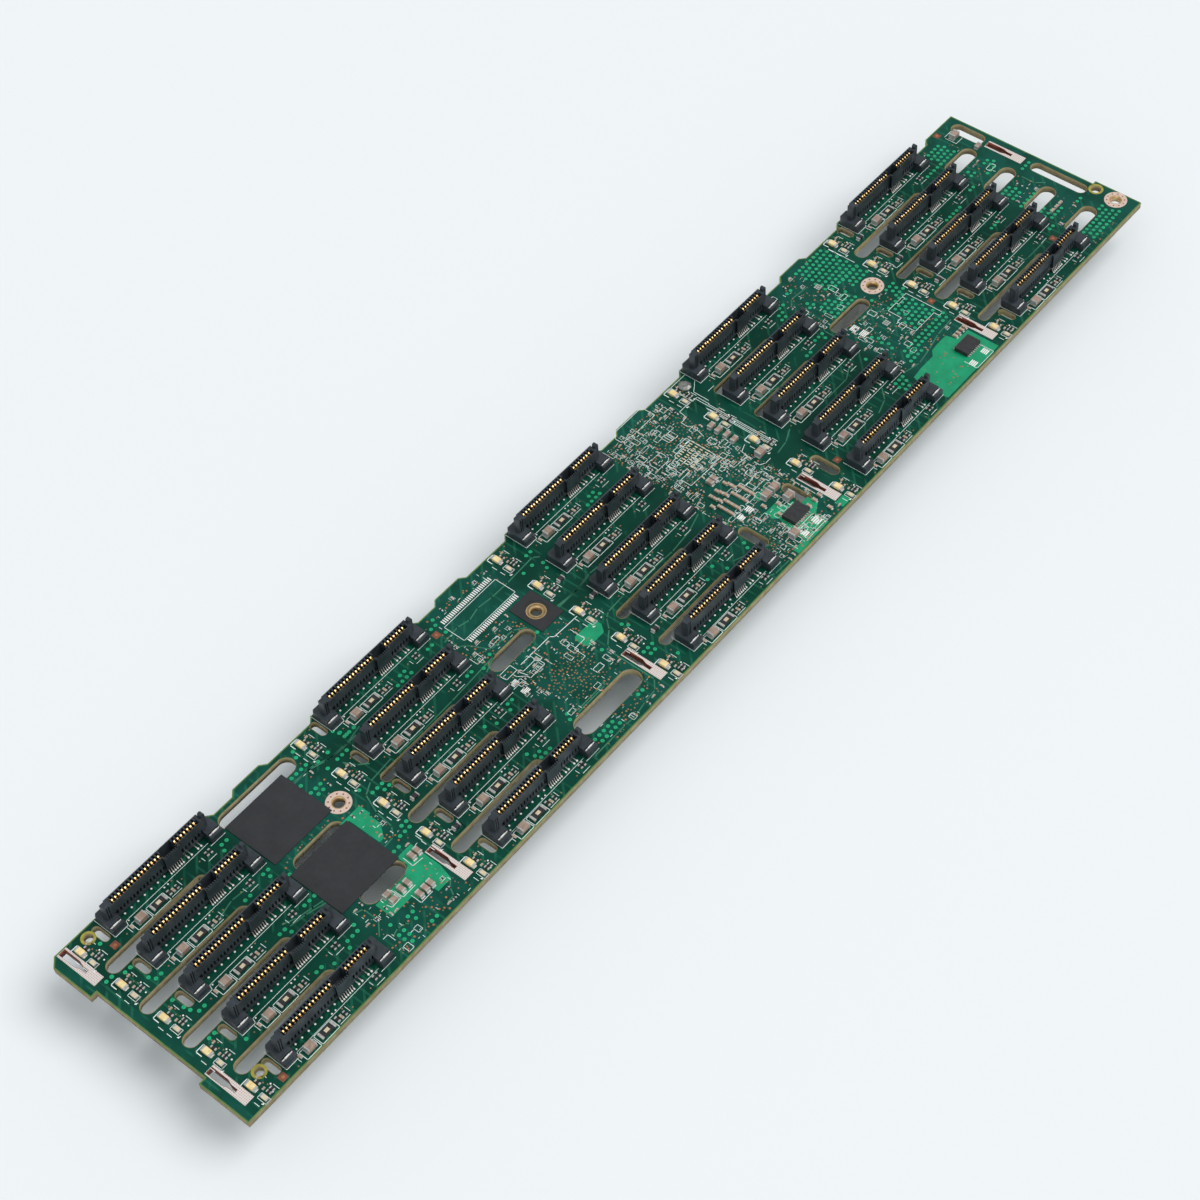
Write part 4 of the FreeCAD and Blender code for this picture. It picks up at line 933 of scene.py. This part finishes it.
faintTraces = [[(138.1, -4.6), (151.8, -4.6), (155.9, -5.0), (161.8, -4.0), (166.9, -3.6), (170.0, -0.9),
    (170.0, 15.3), (171.2, 17.8), (176.2, 21.4), (179.1, 24.7), (181.3, 25.8), (188.3, 26.1)], [(78.2, 58.3),
    (83.6, 57.8), (88.6, 56.1), (94.4, 55.2), (100.7, 55.4)], [(77.0, 57.8), (85.6, 57.8), (89.9, 55.8), (97.1, 55.4),
    (103.6, 56.7)], [(77.8, 22.7), (81.4, 22.9), (83.9, 25.8), (84.7, 32.2), (87.2, 38.7), (91.5, 40.9),
    (100.7, 41.6)], [(91.5, 51.6), (93.3, 48.0), (95.8, 45.5)], [(41.5, 27.9), (45.5, 26.1), (50.5, 25.0),
    (53.7, 24.3)], [(42.6, 25.8), (47.6, 25.0), (53.7, 23.2)], [(56.2, 14.6), (58.8, 13.5), (58.8, 7.8), (55.2, 4.2)],
    [(58.0, 1.3), (60.2, 1.9), (62.4, 1.4), (63.1, 0.6)], [(75.3, -3.4), (77.5, -3.4), (78.9, -0.9), (81.4, 1.3)],
    [(142.4, 57.4), (148.9, 58.1), (153.2, 57.0), (158.2, 58.1), (164.0, 57.4), (171.2, 57.3)], [(171.2, 57.3),
    (183.4, 57.8), (184.9, 56.3)], [(142.4, 53.8), (145.3, 51.6), (148.9, 44.5), (158.2, 44.1), (161.5, 41.6)],
    [(141.7, 40.1), (147.5, 42.3), (127.3, 41.2), (114.4, 40.9), (104.3, 41.2)], [(173.7, 39.4), (182.0, 38.7),
    (188.3, 39.4)], [(146.0, 10.6), (148.2, 9.8), (159.0, 9.8), (160.4, 10.6)], [(147.5, 9.1), (159.0, 9.1),
    (160.0, 9.9)], [(173.7, 38.8), (181.3, 38.7), (189.2, 39.8), (192.8, 39.4)], [(197.8, 25.8), (211.5, 25.0),
    (220.8, 25.8), (228.0, 27.9)], [(220.1, 7.8), (233.8, 2.0), (235.9, -5.2)], [(230.2, -5.5), (223.7, -5.3),
    (221.5, -4.1)], [(233.0, 19.3), (229.5, 17.5), (229.1, 13.5)], [(264.0, 23.6), (269.0, 24.3), (273.9, 26.5)],
    [(316.8, 11.7), (323.0, 10.3), (330.2, 11.4), (337.3, 12.9), (345.3, 13.4)], [(327.3, 37.1), (332.3, 36.5),
    (336.6, 32.2)], [(317.9, 45.2), (316.1, 43.4), (316.1, 39.4)], [(289.2, 39.4), (281.2, 42.3), (278.4, 41.9)],
    [(297.1, 8.1), (302.8, 9.9), (306.4, 13.5)], [(292.7, 25.0), (302.8, 25.0), (307.1, 27.2)], [(318.6, 58.8),
    (321.5, 61.0), (328.7, 60.3)], [(379.2, 11.4), (385.0, 9.2), (395.0, 9.2)], [(418.0, 32.9), (418.0, 27.9),
    (420.2, 25.0)], [(28.2, 42.3), (38.3, 44.5), (45.5, 43.7)], [(98.7, 50.2), (100.7, 48.8)]]
brightTraces = [[(150.0, 33.8), (163.1, 33.8), (164.0, 32.6), (174.1, 32.2)], [(147.5, 32.2), (148.2, 29.7)]]

def viaMaster(name, radius, height, sides=12):
    bm = bmesh.new()
    disc(bm, 0.0, 0.0, 0.0, height, radius, sides)
    return meshObject(name, bm)


def onBoard(name, bm, finish, slotName="board"):  # takes a mesh in mm from the first status light
    bmesh.ops.translate(bm, vec=(bays["firstX"], bays["firstY"], bays["faceZ"]), verts=bm.verts)
    return keep(meshObject(name, bm, finish), slotName)


# How far print and vias keep from a keying slot's middle, from its upper end and from a hole's centre
clearances = {"key": 2.2, "keyTop": 0.6, "hole": 4.2}


def overSlot(x, y, clear):
    for x0, x1, y0, y1 in slotBoxes + locatingBoxes:
        if x0 - clear < x < x1 + clear and y0 - clear < y < y1 + clear:
            return True
    for kx, ky in keyTops:
        low, high = ky - keying["padBelow"] - clear, ky + clearances["keyTop"] + clear
        if abs(x - kx) < clearances["key"] + clear and low < y < high:
            return True
    return any(math.hypot(x - a, y - b) < clearances["hole"] + clear for a, b in mountHoles + [pinPlace])


vias = {"pitch": 2.0, "rowStep": 2.03, "radius": 0.62, "height": 0.03, "centreRadius": 0.2, "centreHeight": 0.045,
        "fieldEdge": (0.5, 0.6), "clear": 0.45, "sizeSpread": 0.04}
viaPlaces = []
for x, y, along in coveredVias:
    viaPlaces += [(x + i * vias["pitch"], y) for i in range(along)]
for x0, y0, x1, y1 in viaFields:  # every second row of a field is moved by half a pitch
    row = 0
    while y0 + row * vias["rowStep"] < y1:
        x = x0 + vias["fieldEdge"][0] + (row % 2) * vias["pitch"] / 2
        while x < x1:
            viaPlaces.append((x, y0 + vias["fieldEdge"][1] + row * vias["rowStep"]))
            x += vias["pitch"]
        row += 1
viaPlaces = [p for p in viaPlaces if not overSlot(p[0], p[1], vias["clear"])]
atPlaces("coveredVias", viaMaster("viaDisc", vias["radius"], vias["height"]), viaPlaces, "coveredVia",
         sizeSpread=vias["sizeSpread"])
atPlaces("viaCentres", viaMaster("viaCentre", vias["centreRadius"], vias["centreHeight"], 8), viaPlaces, "viaCentre")

print("bare areas, traces and print")
keep(plate("brightAreas", brightAreas, 0.0, 0.018, "brightMask"), "board")
faint = bmesh.new()
for route in faintTraces:
    ribbon(faint, route, printing["traceWidth"], printing["traceHeight"])
onBoard("buriedTraces", faint, "trace")
outlines = bmesh.new()
for route in printedOutlines:
    ribbon(outlines, route, printing["outlineWidth"], printing["height"])
for route in brightTraces:
    ribbon(outlines, route, printing["brightWidth"], printing["height"])
onBoard("printedOutlines", outlines, "print")

# Around the holes: tinned rings with open vias, gold rims and sleeves; the second hole lies in the insulating patch
rings = {
    "outer": 3.95, "gold": 2.25, "sleeve": 0.06, "lap": 0.01, "bare": 0.8, "patched": 1, "dots": 10, "dotCircle": 3.05,
    "dotRadius": 0.27, "dotStart": 0.3, "patch": (
        ("patchRing", 3.2, 2.9, 0.08, "rimGold"), ("patchFloor", 2.9, 2.3, 0.05, "patchBrown"),
        ("patchInner", 4.3, 3.2, 0.2, "sheet"))}


def ringsAt(holes, sides=40):  # flat rings from (x, y, outer radius, inner radius)
    return sum(([circle(x, y, outer, sides), circle(x, y, inner, 40)] for x, y, outer, inner in holes), [])


holeRadius, rearDepth = boardSizes["mountRadius"], bays["rearZ"] - bays["faceZ"]
tinned = [place for i, place in enumerate(mountHoles) if i != rings["patched"]]
dotAngles = [rings["dotStart"] + k * math.tau / rings["dots"] for k in range(rings["dots"])]
dotPlaces = [(x + rings["dotCircle"] * math.cos(a), y + rings["dotCircle"] * math.sin(a))
             for x, y in tinned for a in dotAngles]
tinnedRings = ringsAt([place + (rings["outer"], rings["gold"]) for place in tinned], 48)
goldRims = ringsAt([place + (rings["gold"], holeRadius - rings["sleeve"]) for place in mountHoles])
sleeves = ringsAt([place + (holeRadius + rings["lap"], holeRadius - rings["sleeve"]) for place in mountHoles])
bareRings = ringsAt([(x, y, radius + rings["bare"], radius + rings["lap"]) for x, y, radius in toolHoles])
keep(plate("mountingRings", tinnedRings, 0.0, 0.05, "ring"), "board")
keep(plate("goldRims", goldRims, 0.0, 0.06, "rimGold"), "contact_plating")
atPlaces("ringDots", viaMaster("ringDot", rings["dotRadius"], 0.06, 10), dotPlaces, "viaDark")
keep(plate("holeSleeves", sleeves, rearDepth - 0.03, 0.02, "rimGold"), "contact_plating")
for name, outer, inner, height, finish in rings["patch"]:
    keep(plate(name, ringsAt([mountHoles[rings["patched"]] + (outer, inner)]), 0.0, height, finish), "board")
keep(plate("bareRings", bareRings, 0.0, 0.03, "bareRing"), "board")

padLoops, wallLoops = [], []
for i, (x, top) in enumerate(keyTops):
    left, right = keying["padSides"] if i < bays["columns"] else keying["endPadSides"]
    y0, y1 = top - keying["padBelow"], top + keying["padAbove"]
    padLoops += [[(x - left, y0), (x + right, y0), (x + right, y1), (x - left, y1)], keyingSlot(x, top, keying["lap"])]
    wallLoops += [keyingSlot(x, top, keying["lap"]), keyingSlot(x, top, -keying["wall"])]
keep(plate("keyingPads", padLoops, 0.0, 0.05, "griddedTin"), "board")
keep(plate("keyingWalls", wallLoops, rearDepth, 0.05, "platedWall"), "board")

print("strip parts")
# The strips' parts were read in five rectified pictures of 14 pixels to a millimetre, with these left edges
pictures = {"left": (-12, 75, 160, 245, 328), "top": 82, "pixels": 14, "scale": 1.007}


def crop(picture, px, py):  # a place in a picture, in mm from the first status light
    x, y = pictures["left"][picture - 1] + px / pictures["pixels"], pictures["top"] - py / pictures["pixels"]
    return x * pictures["scale"], y * pictures["scale"]


def cropAll(picture, turn, places):
    return [crop(picture, px, py) + (turn,) for px, py in places]


def partMaster(name, x, y, z, bevel):
    bm = bmesh.new()
    slab(bm, -x / 2, x / 2, -y / 2, y / 2, 0.0, z)
    softened(bm, bevel)
    return meshObject(name, bm)


# A part with a body, two tinned ends and a solder joint at each
splitSizes = {"lap": 0.8, "bodyBevel": 0.09, "endBevel": 0.04, "proud": 0.01, "taller": 1.01, "jointOut": 0.3,
              "jointIn": 0.1, "jointShare": 0.9, "jointHeight": 0.12}


def splitPart(name, kind, places, finish, slotName="capacitor_body"):
    s = splitSizes
    length, width, height, end = kind
    reach = length / 2 - end * s["lap"]
    body = bmesh.new()
    slab(body, -reach, reach, -width / 2, width / 2, 0.0, height)
    softened(body, height * s["bodyBevel"])
    atPlaces(name + "Bodies", meshObject(name + "Body", body), places, finish, slotName)
    ends = bmesh.new()
    across, joint = width / 2 + s["proud"], width / 2 * s["jointShare"]
    for side in (-1, 1):
        x0, x1 = sorted((side * length / 2, side * (length / 2 - end)))
        slab(ends, x0, x1, -across, across, 0.0, height * s["taller"])
        x0, x1 = sorted((side * (length / 2 + s["jointOut"]), side * (length / 2 - s["jointIn"])))
        slab(ends, x0, x1, -joint, joint, 0.0, s["jointHeight"])
    softened(ends, s["endBevel"])
    atPlaces(name + "Ends", meshObject(name + "End", ends), places, "tin", "contact_plating")


# Places are given by picture, with a turn of 1 for parts that stand across the rows
partKinds = {"middling": (2.6, 1.6, 1.3, 0.5), "small": (1.7, 0.95, 0.8, 0.38), "large": (3.3, 2.5, 2.0, 0.55),
             "threeLead": (2.4, 1.5, 1.0, 0.4), "tiny": (1.05, 0.55, 0.42, 0.3), "tinyChip": (1.05, 0.55, 0.4, 0.3)}
middling = cropAll(1, 0.0, ((1087, 992), (1087, 1027)))
middling += cropAll(1, 1.0, ((1277, 950), (1308, 950), (1140, 1018), (1175, 1018), (1167, 1090), (1200, 1090),
                             (1230, 1090)))
middling += cropAll(3, 0.0, ((1370, 493), (1370, 533), (1370, 580), (1367, 623)))
middling += cropAll(3, 1.0, ((1103, 693), (1130, 693)))
middling += cropAll(5, 0.0, ((1270, 400),))
splitPart("middlingCapacitor", partKinds["middling"], middling, "ceramic")
small = cropAll(3, 1.0, ((1043, 747), (1083, 747), (1140, 747), (1043, 767), (1087, 767), (1147, 767), (1000, 787),
                         (1047, 790), (1090, 790), (1147, 790), (1137, 960), (1187, 1003), (1143, 1043), (1258, 1113),
                         (1300, 1113), (1335, 1113), (1307, 1190)))
small += cropAll(5, 0.0, ((1100, 938), (1135, 938), (1168, 938)))
small += cropAll(4, 1.0, ((1295, 1040), (1318, 1040), (1345, 1040), (1368, 1040)))
small += cropAll(3, 1.0, [(px, py) for px in (1020, 1062, 1115, 1165) for py in range(812, 884, 22)])
splitPart("smallCapacitor", partKinds["small"], small, "tanCeramic")
large = cropAll(3, 0.0, ((1190, 933), (1247, 933), (1246, 1013), (1090, 1158), (1373, 763)))
large += cropAll(5, 0.0, ((1262, 265),))
splitPart("largeCapacitor", partKinds["large"], large, "ceramic")

# Rows and fields of pads: picture, left, top, right and bottom in it, columns and rows
padFields = {
    "white": ((2, 1000, 276, 1298, 276, 28, 1), (2, 1000, 427, 1298, 427, 28, 1)),
    "short": ((3, 1130, 484, 1250, 570, 9, 4),),
    "tan": ((2, 1048, 787, 1223, 983, 13, 14), (3, 1140, 340, 1293, 423, 10, 5), (2, 1087, 1167, 1180, 1185, 7, 2),
            (1, 1005, 572, 1195, 572, 12, 1)),
    "orange": ((4, 1240, 209, 1322, 209, 3, 1), (4, 1240, 455, 1328, 455, 3, 1), (4, 1240, 648, 1318, 648, 3, 1),
               (4, 1240, 893, 1328, 893, 3, 1)),
    "round": ((4, 1168, 340, 1190, 362, 3, 3), (4, 1168, 728, 1190, 750, 3, 3), (5, 1165, 698, 1165, 755, 1, 3))}
loose = {"tan": (0.66, 0.4)}  # the share of the places that is filled, and how far each one wanders, in mm


def spread(fields, share, wander):
    places = []
    for picture, left, top, right, bottom, columns, rows in fields:
        for i in range(columns):
            for j in range(rows):
                px, py = left + (right - left) * i / max(columns - 1, 1), top + (bottom - top) * j / max(rows - 1, 1)
                x, y = crop(picture, px, py)
                if dice.random() < share and not overSlot(x, y, 0.2 + wander):
                    places.append((x + dice.uniform(-wander, wander), y + dice.uniform(-wander, wander)))
    return places


fieldPlaces = {kind: spread(fields, *loose.get(kind, (1.0, 0.0))) for kind, fields in padFields.items()}
atPlaces("padRows", partMaster("rowPad", 0.42, 1.7, 0.06, 0.02), fieldPlaces["white"], "solder", "contact_plating")
atPlaces("shortPads", partMaster("shortPad", 0.46, 1.05, 0.06, 0.02), fieldPlaces["short"], "cream", "contact_plating")
atPlaces("tanVias", viaMaster("tanVia", 0.24, 0.035, 8), fieldPlaces["tan"], "tanDot", sizeSpread=0.3)
atPlaces("orangeVias", viaMaster("orangeVia", 0.22, 0.04, 10), fieldPlaces["orange"], "copper")
atPlaces("whiteHoles", viaMaster("whiteHole", 0.36, 0.05, 10), fieldPlaces["round"], "tin", "contact_plating")

# Large pads, each of four tinned bars: picture, left, right, top and bottom in it
largePads = {"bars": 4, "share": 0.7, "height": 0.08, "bevel": 0.03, "places": (
    (2, 928, 963, 705, 732), (2, 928, 963, 763, 793), (3, 1017, 1043, 900, 935), (3, 1072, 1103, 900, 935),
    (3, 1112, 1143, 1163, 1203), (3, 1198, 1233, 1163, 1205), (4, 1190, 1222, 1180, 1215), (4, 1283, 1315, 1180, 1215),
    (4, 1040, 1080, 625, 660), (4, 1040, 1080, 678, 712))}
pads = bmesh.new()
for picture, left, right, top, bottom in largePads["places"]:
    (xa, ya), (xb, yb) = crop(picture, left, bottom), crop(picture, right, top)
    step = (yb - ya) / largePads["bars"]
    for k in range(largePads["bars"]):
        slab(pads, xa, xb, ya + step * k, ya + step * (k + largePads["share"]), 0.0, largePads["height"])
softened(pads, largePads["bevel"])
onBoard("largePads", pads, "solder", "contact_plating")

# Leads of the two driver chips
leadRows = {"chips": (inBay(2, 0, 71.2, 3.8), inBay(3, 0, 75.4, 2.0)), "count": 8, "pitch": 0.92, "width": 0.42,
            "edge": 2.4, "out": 3.2, "height": 0.3}
bm = bmesh.new()
for x, y in leadRows["chips"]:
    for i in range(leadRows["count"]):
        lead = x + (i - (leadRows["count"] - 1) / 2) * leadRows["pitch"]
        for side in (-1, 1):
            y0, y1 = sorted((y + side * leadRows["edge"], y + side * leadRows["out"]))
            slab(bm, lead - leadRows["width"] / 2, lead + leadRows["width"] / 2, y0, y1, 0.0, leadRows["height"])
onBoard("chipLeads", bm, "tin", "contact_plating")

# Squares of bare copper with a centre dot, for the placing machine
marks = [crop(*place) for place in ((1, 282, 315), (1, 277, 1212), (2, 935, 297), (4, 1418, 822), (4, 360, 1052),
                                    (5, 1218, 195), (5, 945, 1042))]
atPlaces("fiducialSquares", partMaster("fiducial", 2.3, 2.3, 0.02, 0.005), marks, "viaDark")
atPlaces("fiducialDots", viaMaster("fiducialDot", 0.5, 0.05, 12), marks, "copper")

# Three-lead parts
leads = cropAll(2, 0.0, ((275, 770), (270, 995))) + cropAll(5, 0.0, ((400, 315), (395, 545), (390, 770)))
leads += cropAll(2, 0.0, ((1480, 520), (1500, 685), (1515, 1005)))
splitPart("threeLead", partKinds["threeLead"], leads, "chip", "chip_body")

# Fine scatter in the strips; a kind is given by its count, the clear room that it needs and the room that it takes
strips = {
    "zones": [(54.5, 84.0), (142.0, 170.5), (229.5, 258.0), (316.0, 344.5), (405.0, 418.0)],
    "weights": (1.0, 1.6, 6.0, 1.2, 0.3), "seed": 19, "bottom": 1.2, "top": 3.6,
    "parts": (260, 0.85, 0.85), "dots": (620, 0.3, 0.35), "copper": (340, 0.4, 0.4), "ticks": (300, 0.25, 0.3)}
scatter = random.Random(strips["seed"])
taken = [(p[0], p[1], 2.2) for p in middling + small + large + leads] + [(p[0], p[1], 1.6) for p in marks]
taken += [(p[0], p[1], 0.9) for p in viaPlaces] + [(p[0], p[1], 0.7) for p in sum(fieldPlaces.values(), [])]
# nothing is scattered under the insulating sheets and the patch, between the rows of pads or on the largest bright area
covers = [(52.0, 78.5, 41.6, 64.0), (52.0, 78.5, 15.8, 37.8), (162.0, 174.5, 36.0, 51.0), (146.5, 170.0, 51.0, 64.0),
          (315.5, 345.5, -6.0, 11.0)]


def isCovered(x, y, room=0):
    return any(x0 - room < x < x1 + room and y0 - room < y < y1 + room for x0, x1, y0, y1 in covers)


def isFree(x, y, room):
    if overSlot(x, y, room) or isCovered(x, y):
        return False
    return all(math.hypot(x - a, y - b) > room + c for a, b, c in taken)


def dropIn(count, room, own):
    places = []
    for attempt in range(count * 30):
        if len(places) == count:
            break
        low, high = scatter.choices(strips["zones"], strips["weights"])[0]
        x = scatter.uniform(low, high)
        y = scatter.uniform(boardBottom + strips["bottom"], boardUpper - strips["top"])
        if isFree(x, y, room):
            places.append((x, y, float(scatter.randrange(2))))
            taken.append((x, y, own))
    return places


tiny = dropIn(*strips["parts"])
printLine = {"width": 0.12, "height": 0.03}
corner = bmesh.new()
for route in ([(-0.85, -0.6), (0.85, -0.6)], [(-0.4, 0.6), (0.85, 0.6)]):
    ribbon(corner, route, printLine["width"], printLine["height"])
atPlaces("cornerMarks", meshObject("cornerMark", corner), tiny[::3], "print")
splitPart("tinyPart", partKinds["tiny"], tiny[::2], "tanCeramic")
splitPart("tinyChip", partKinds["tinyChip"], tiny[1::2], "chip", "chip_body")
atPlaces("scatteredVias", viaMaster("scatteredVia", 0.2, 0.03, 8), [p[:2] for p in dropIn(*strips["dots"])], "tanDot",
         sizeSpread=0.25)
atPlaces("copperVias", viaMaster("copperVia", 0.3, 0.035, 8), [p[:2] for p in dropIn(*strips["copper"])], "copper",
         sizeSpread=0.2)
atPlaces("printedTicks", partMaster("tick", 0.9, 0.13, 0.03, 0.005), dropIn(*strips["ticks"]), "print",
         sizeSpread=0.35)

# Printed outlines of parts, in many sizes: one frame, stretched along and across
partFrames = {"count": 130, "length": (0.8, 1.8), "width": (0.7, 1.5), "room": 2.0, "side": 1.0, "bottom": 2.0,
              "top": 4.5}
oneFrame = bmesh.new()
ribbon(oneFrame, frameOf(-1.0, 1.0, -0.7, 0.7), printLine["width"], printLine["height"])
framePlaces = []
while len(framePlaces) < partFrames["count"]:
    low, high = scatter.choices(strips["zones"], strips["weights"])[0]
    x = scatter.uniform(low + partFrames["side"], high - partFrames["side"])
    y = scatter.uniform(boardBottom + partFrames["bottom"], boardUpper - partFrames["top"])
    if not overSlot(x, y, partFrames["room"]) and not isCovered(x, y, partFrames["room"]):
        framePlaces.append((x, y, float(scatter.randrange(2)), scatter.uniform(*partFrames["length"]),
                            scatter.uniform(*partFrames["width"]), 1.0))
atPlaces("partOutlines", meshObject("partOutline", oneFrame), framePlaces, "print")

# Dots of bare copper on the largest bright area
areaDots = {"count": 20, "x": (318.5, 333.0), "y": (-4.0, 8.0), "seed": 4}
dotDice = random.Random(areaDots["seed"])
areaPlaces = [(dotDice.uniform(*areaDots["x"]), dotDice.uniform(*areaDots["y"])) for i in range(areaDots["count"])]
atPlaces("areaDots", viaMaster("areaDot", 0.24, 0.04, 8), areaPlaces, "copper", sizeSpread=0.25)

# Nodes of the CAD part that stay get a finish
nodeFinish = {
    "sheet": ("upper_insulating_sheet", "lower_insulating_sheet", "insulating_patch"),
    "chip": ("driver_chip_1", "driver_chip_2", "switch_chip_1", "switch_chip_2"),
    "mouldedBlack": ("data_connector_1", "data_connector_2"),
    "greyMoulding": ("power_connector_1", "power_connector_2"), "steel": ("guide_pin",)}
for finish, nodes in nodeFinish.items():
    for node in nodes:
        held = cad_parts[node].data.materials
        held.clear()
        held.append(finishes[finish])

# Floor, two soft suns as (name, side that it comes from, strength, spread), and the photograph's camera
room = {
    "floorSize": 30.0, "floorTones": ((0.82, 0.85, 0.86, 1.0), (0.85, 0.88, 0.89, 1.0)), "floorRoughness": 0.85,
    "skyTone": (0.93, 0.97, 1.0, 1.0), "skyStrength": 0.46, "lights": (
        ("windowLight", (0.6, -0.65, 1.35), 1.85, 0.8), ("fillLight", (-1.0, -0.4, 0.8), 0.65, 1.1))}
photoView = {"lens": 73.37, "sensor": 36.0, "nearest": 0.01, "place": (
    (0.632825, 0.622295, -0.460740, -0.370238), (-0.773291, 0.477649, -0.416980, -0.310384),
    (-0.039413, 0.620162, 0.783483, 0.598204), (0.0, 0.0, 0.0, 1.0))}


def makeStudio():
    half = room["floorSize"] / 2
    corners = [(-half, -half, 0.0), (half, -half, 0.0), (half, half, 0.0), (-half, half, 0.0)]
    floorMesh = bpy.data.meshes.new("floor")
    floorMesh.from_pydata(corners, [], [(0, 1, 2, 3)])
    floor = bpy.data.objects.new("floor", floorMesh)
    stand.objects.link(floor)
    finish, tree, shader = startFinish("paleTable", room["floorTones"][0], room["floorRoughness"])
    drift = mixTones(tree, objectNoise(tree, 1.6, 2.0), *room["floorTones"])
    tree.links.new(drift, shader.inputs["Base Color"])
    floorMesh.materials.append(finish)
    world = bpy.data.worlds.new("softRoom")
    world.use_nodes = True
    world.node_tree.nodes["Background"].inputs["Color"].default_value = room["skyTone"]
    world.node_tree.nodes["Background"].inputs["Strength"].default_value = room["skyStrength"]
    bpy.context.scene.world = world
    for name, side, power, width in room["lights"]:
        lamp = bpy.data.lights.new(name, "SUN")
        lamp.energy = power
        lamp.angle = width
        holder = bpy.data.objects.new(name, lamp)
        stand.objects.link(holder)
        holder.rotation_euler = (-Vector(side)).to_track_quat("-Z", "Y").to_euler()
    view = bpy.data.cameras.new("photoView")
    view.lens = photoView["lens"]
    view.sensor_width = photoView["sensor"]
    view.clip_start = photoView["nearest"]
    camera = bpy.data.objects.new("photoView", view)
    stand.objects.link(camera)
    camera.matrix_world = Matrix(photoView["place"])
    bpy.context.scene.camera = camera
    bpy.context.scene.view_settings.view_transform = "Standard"


print("studio")
makeStudio()
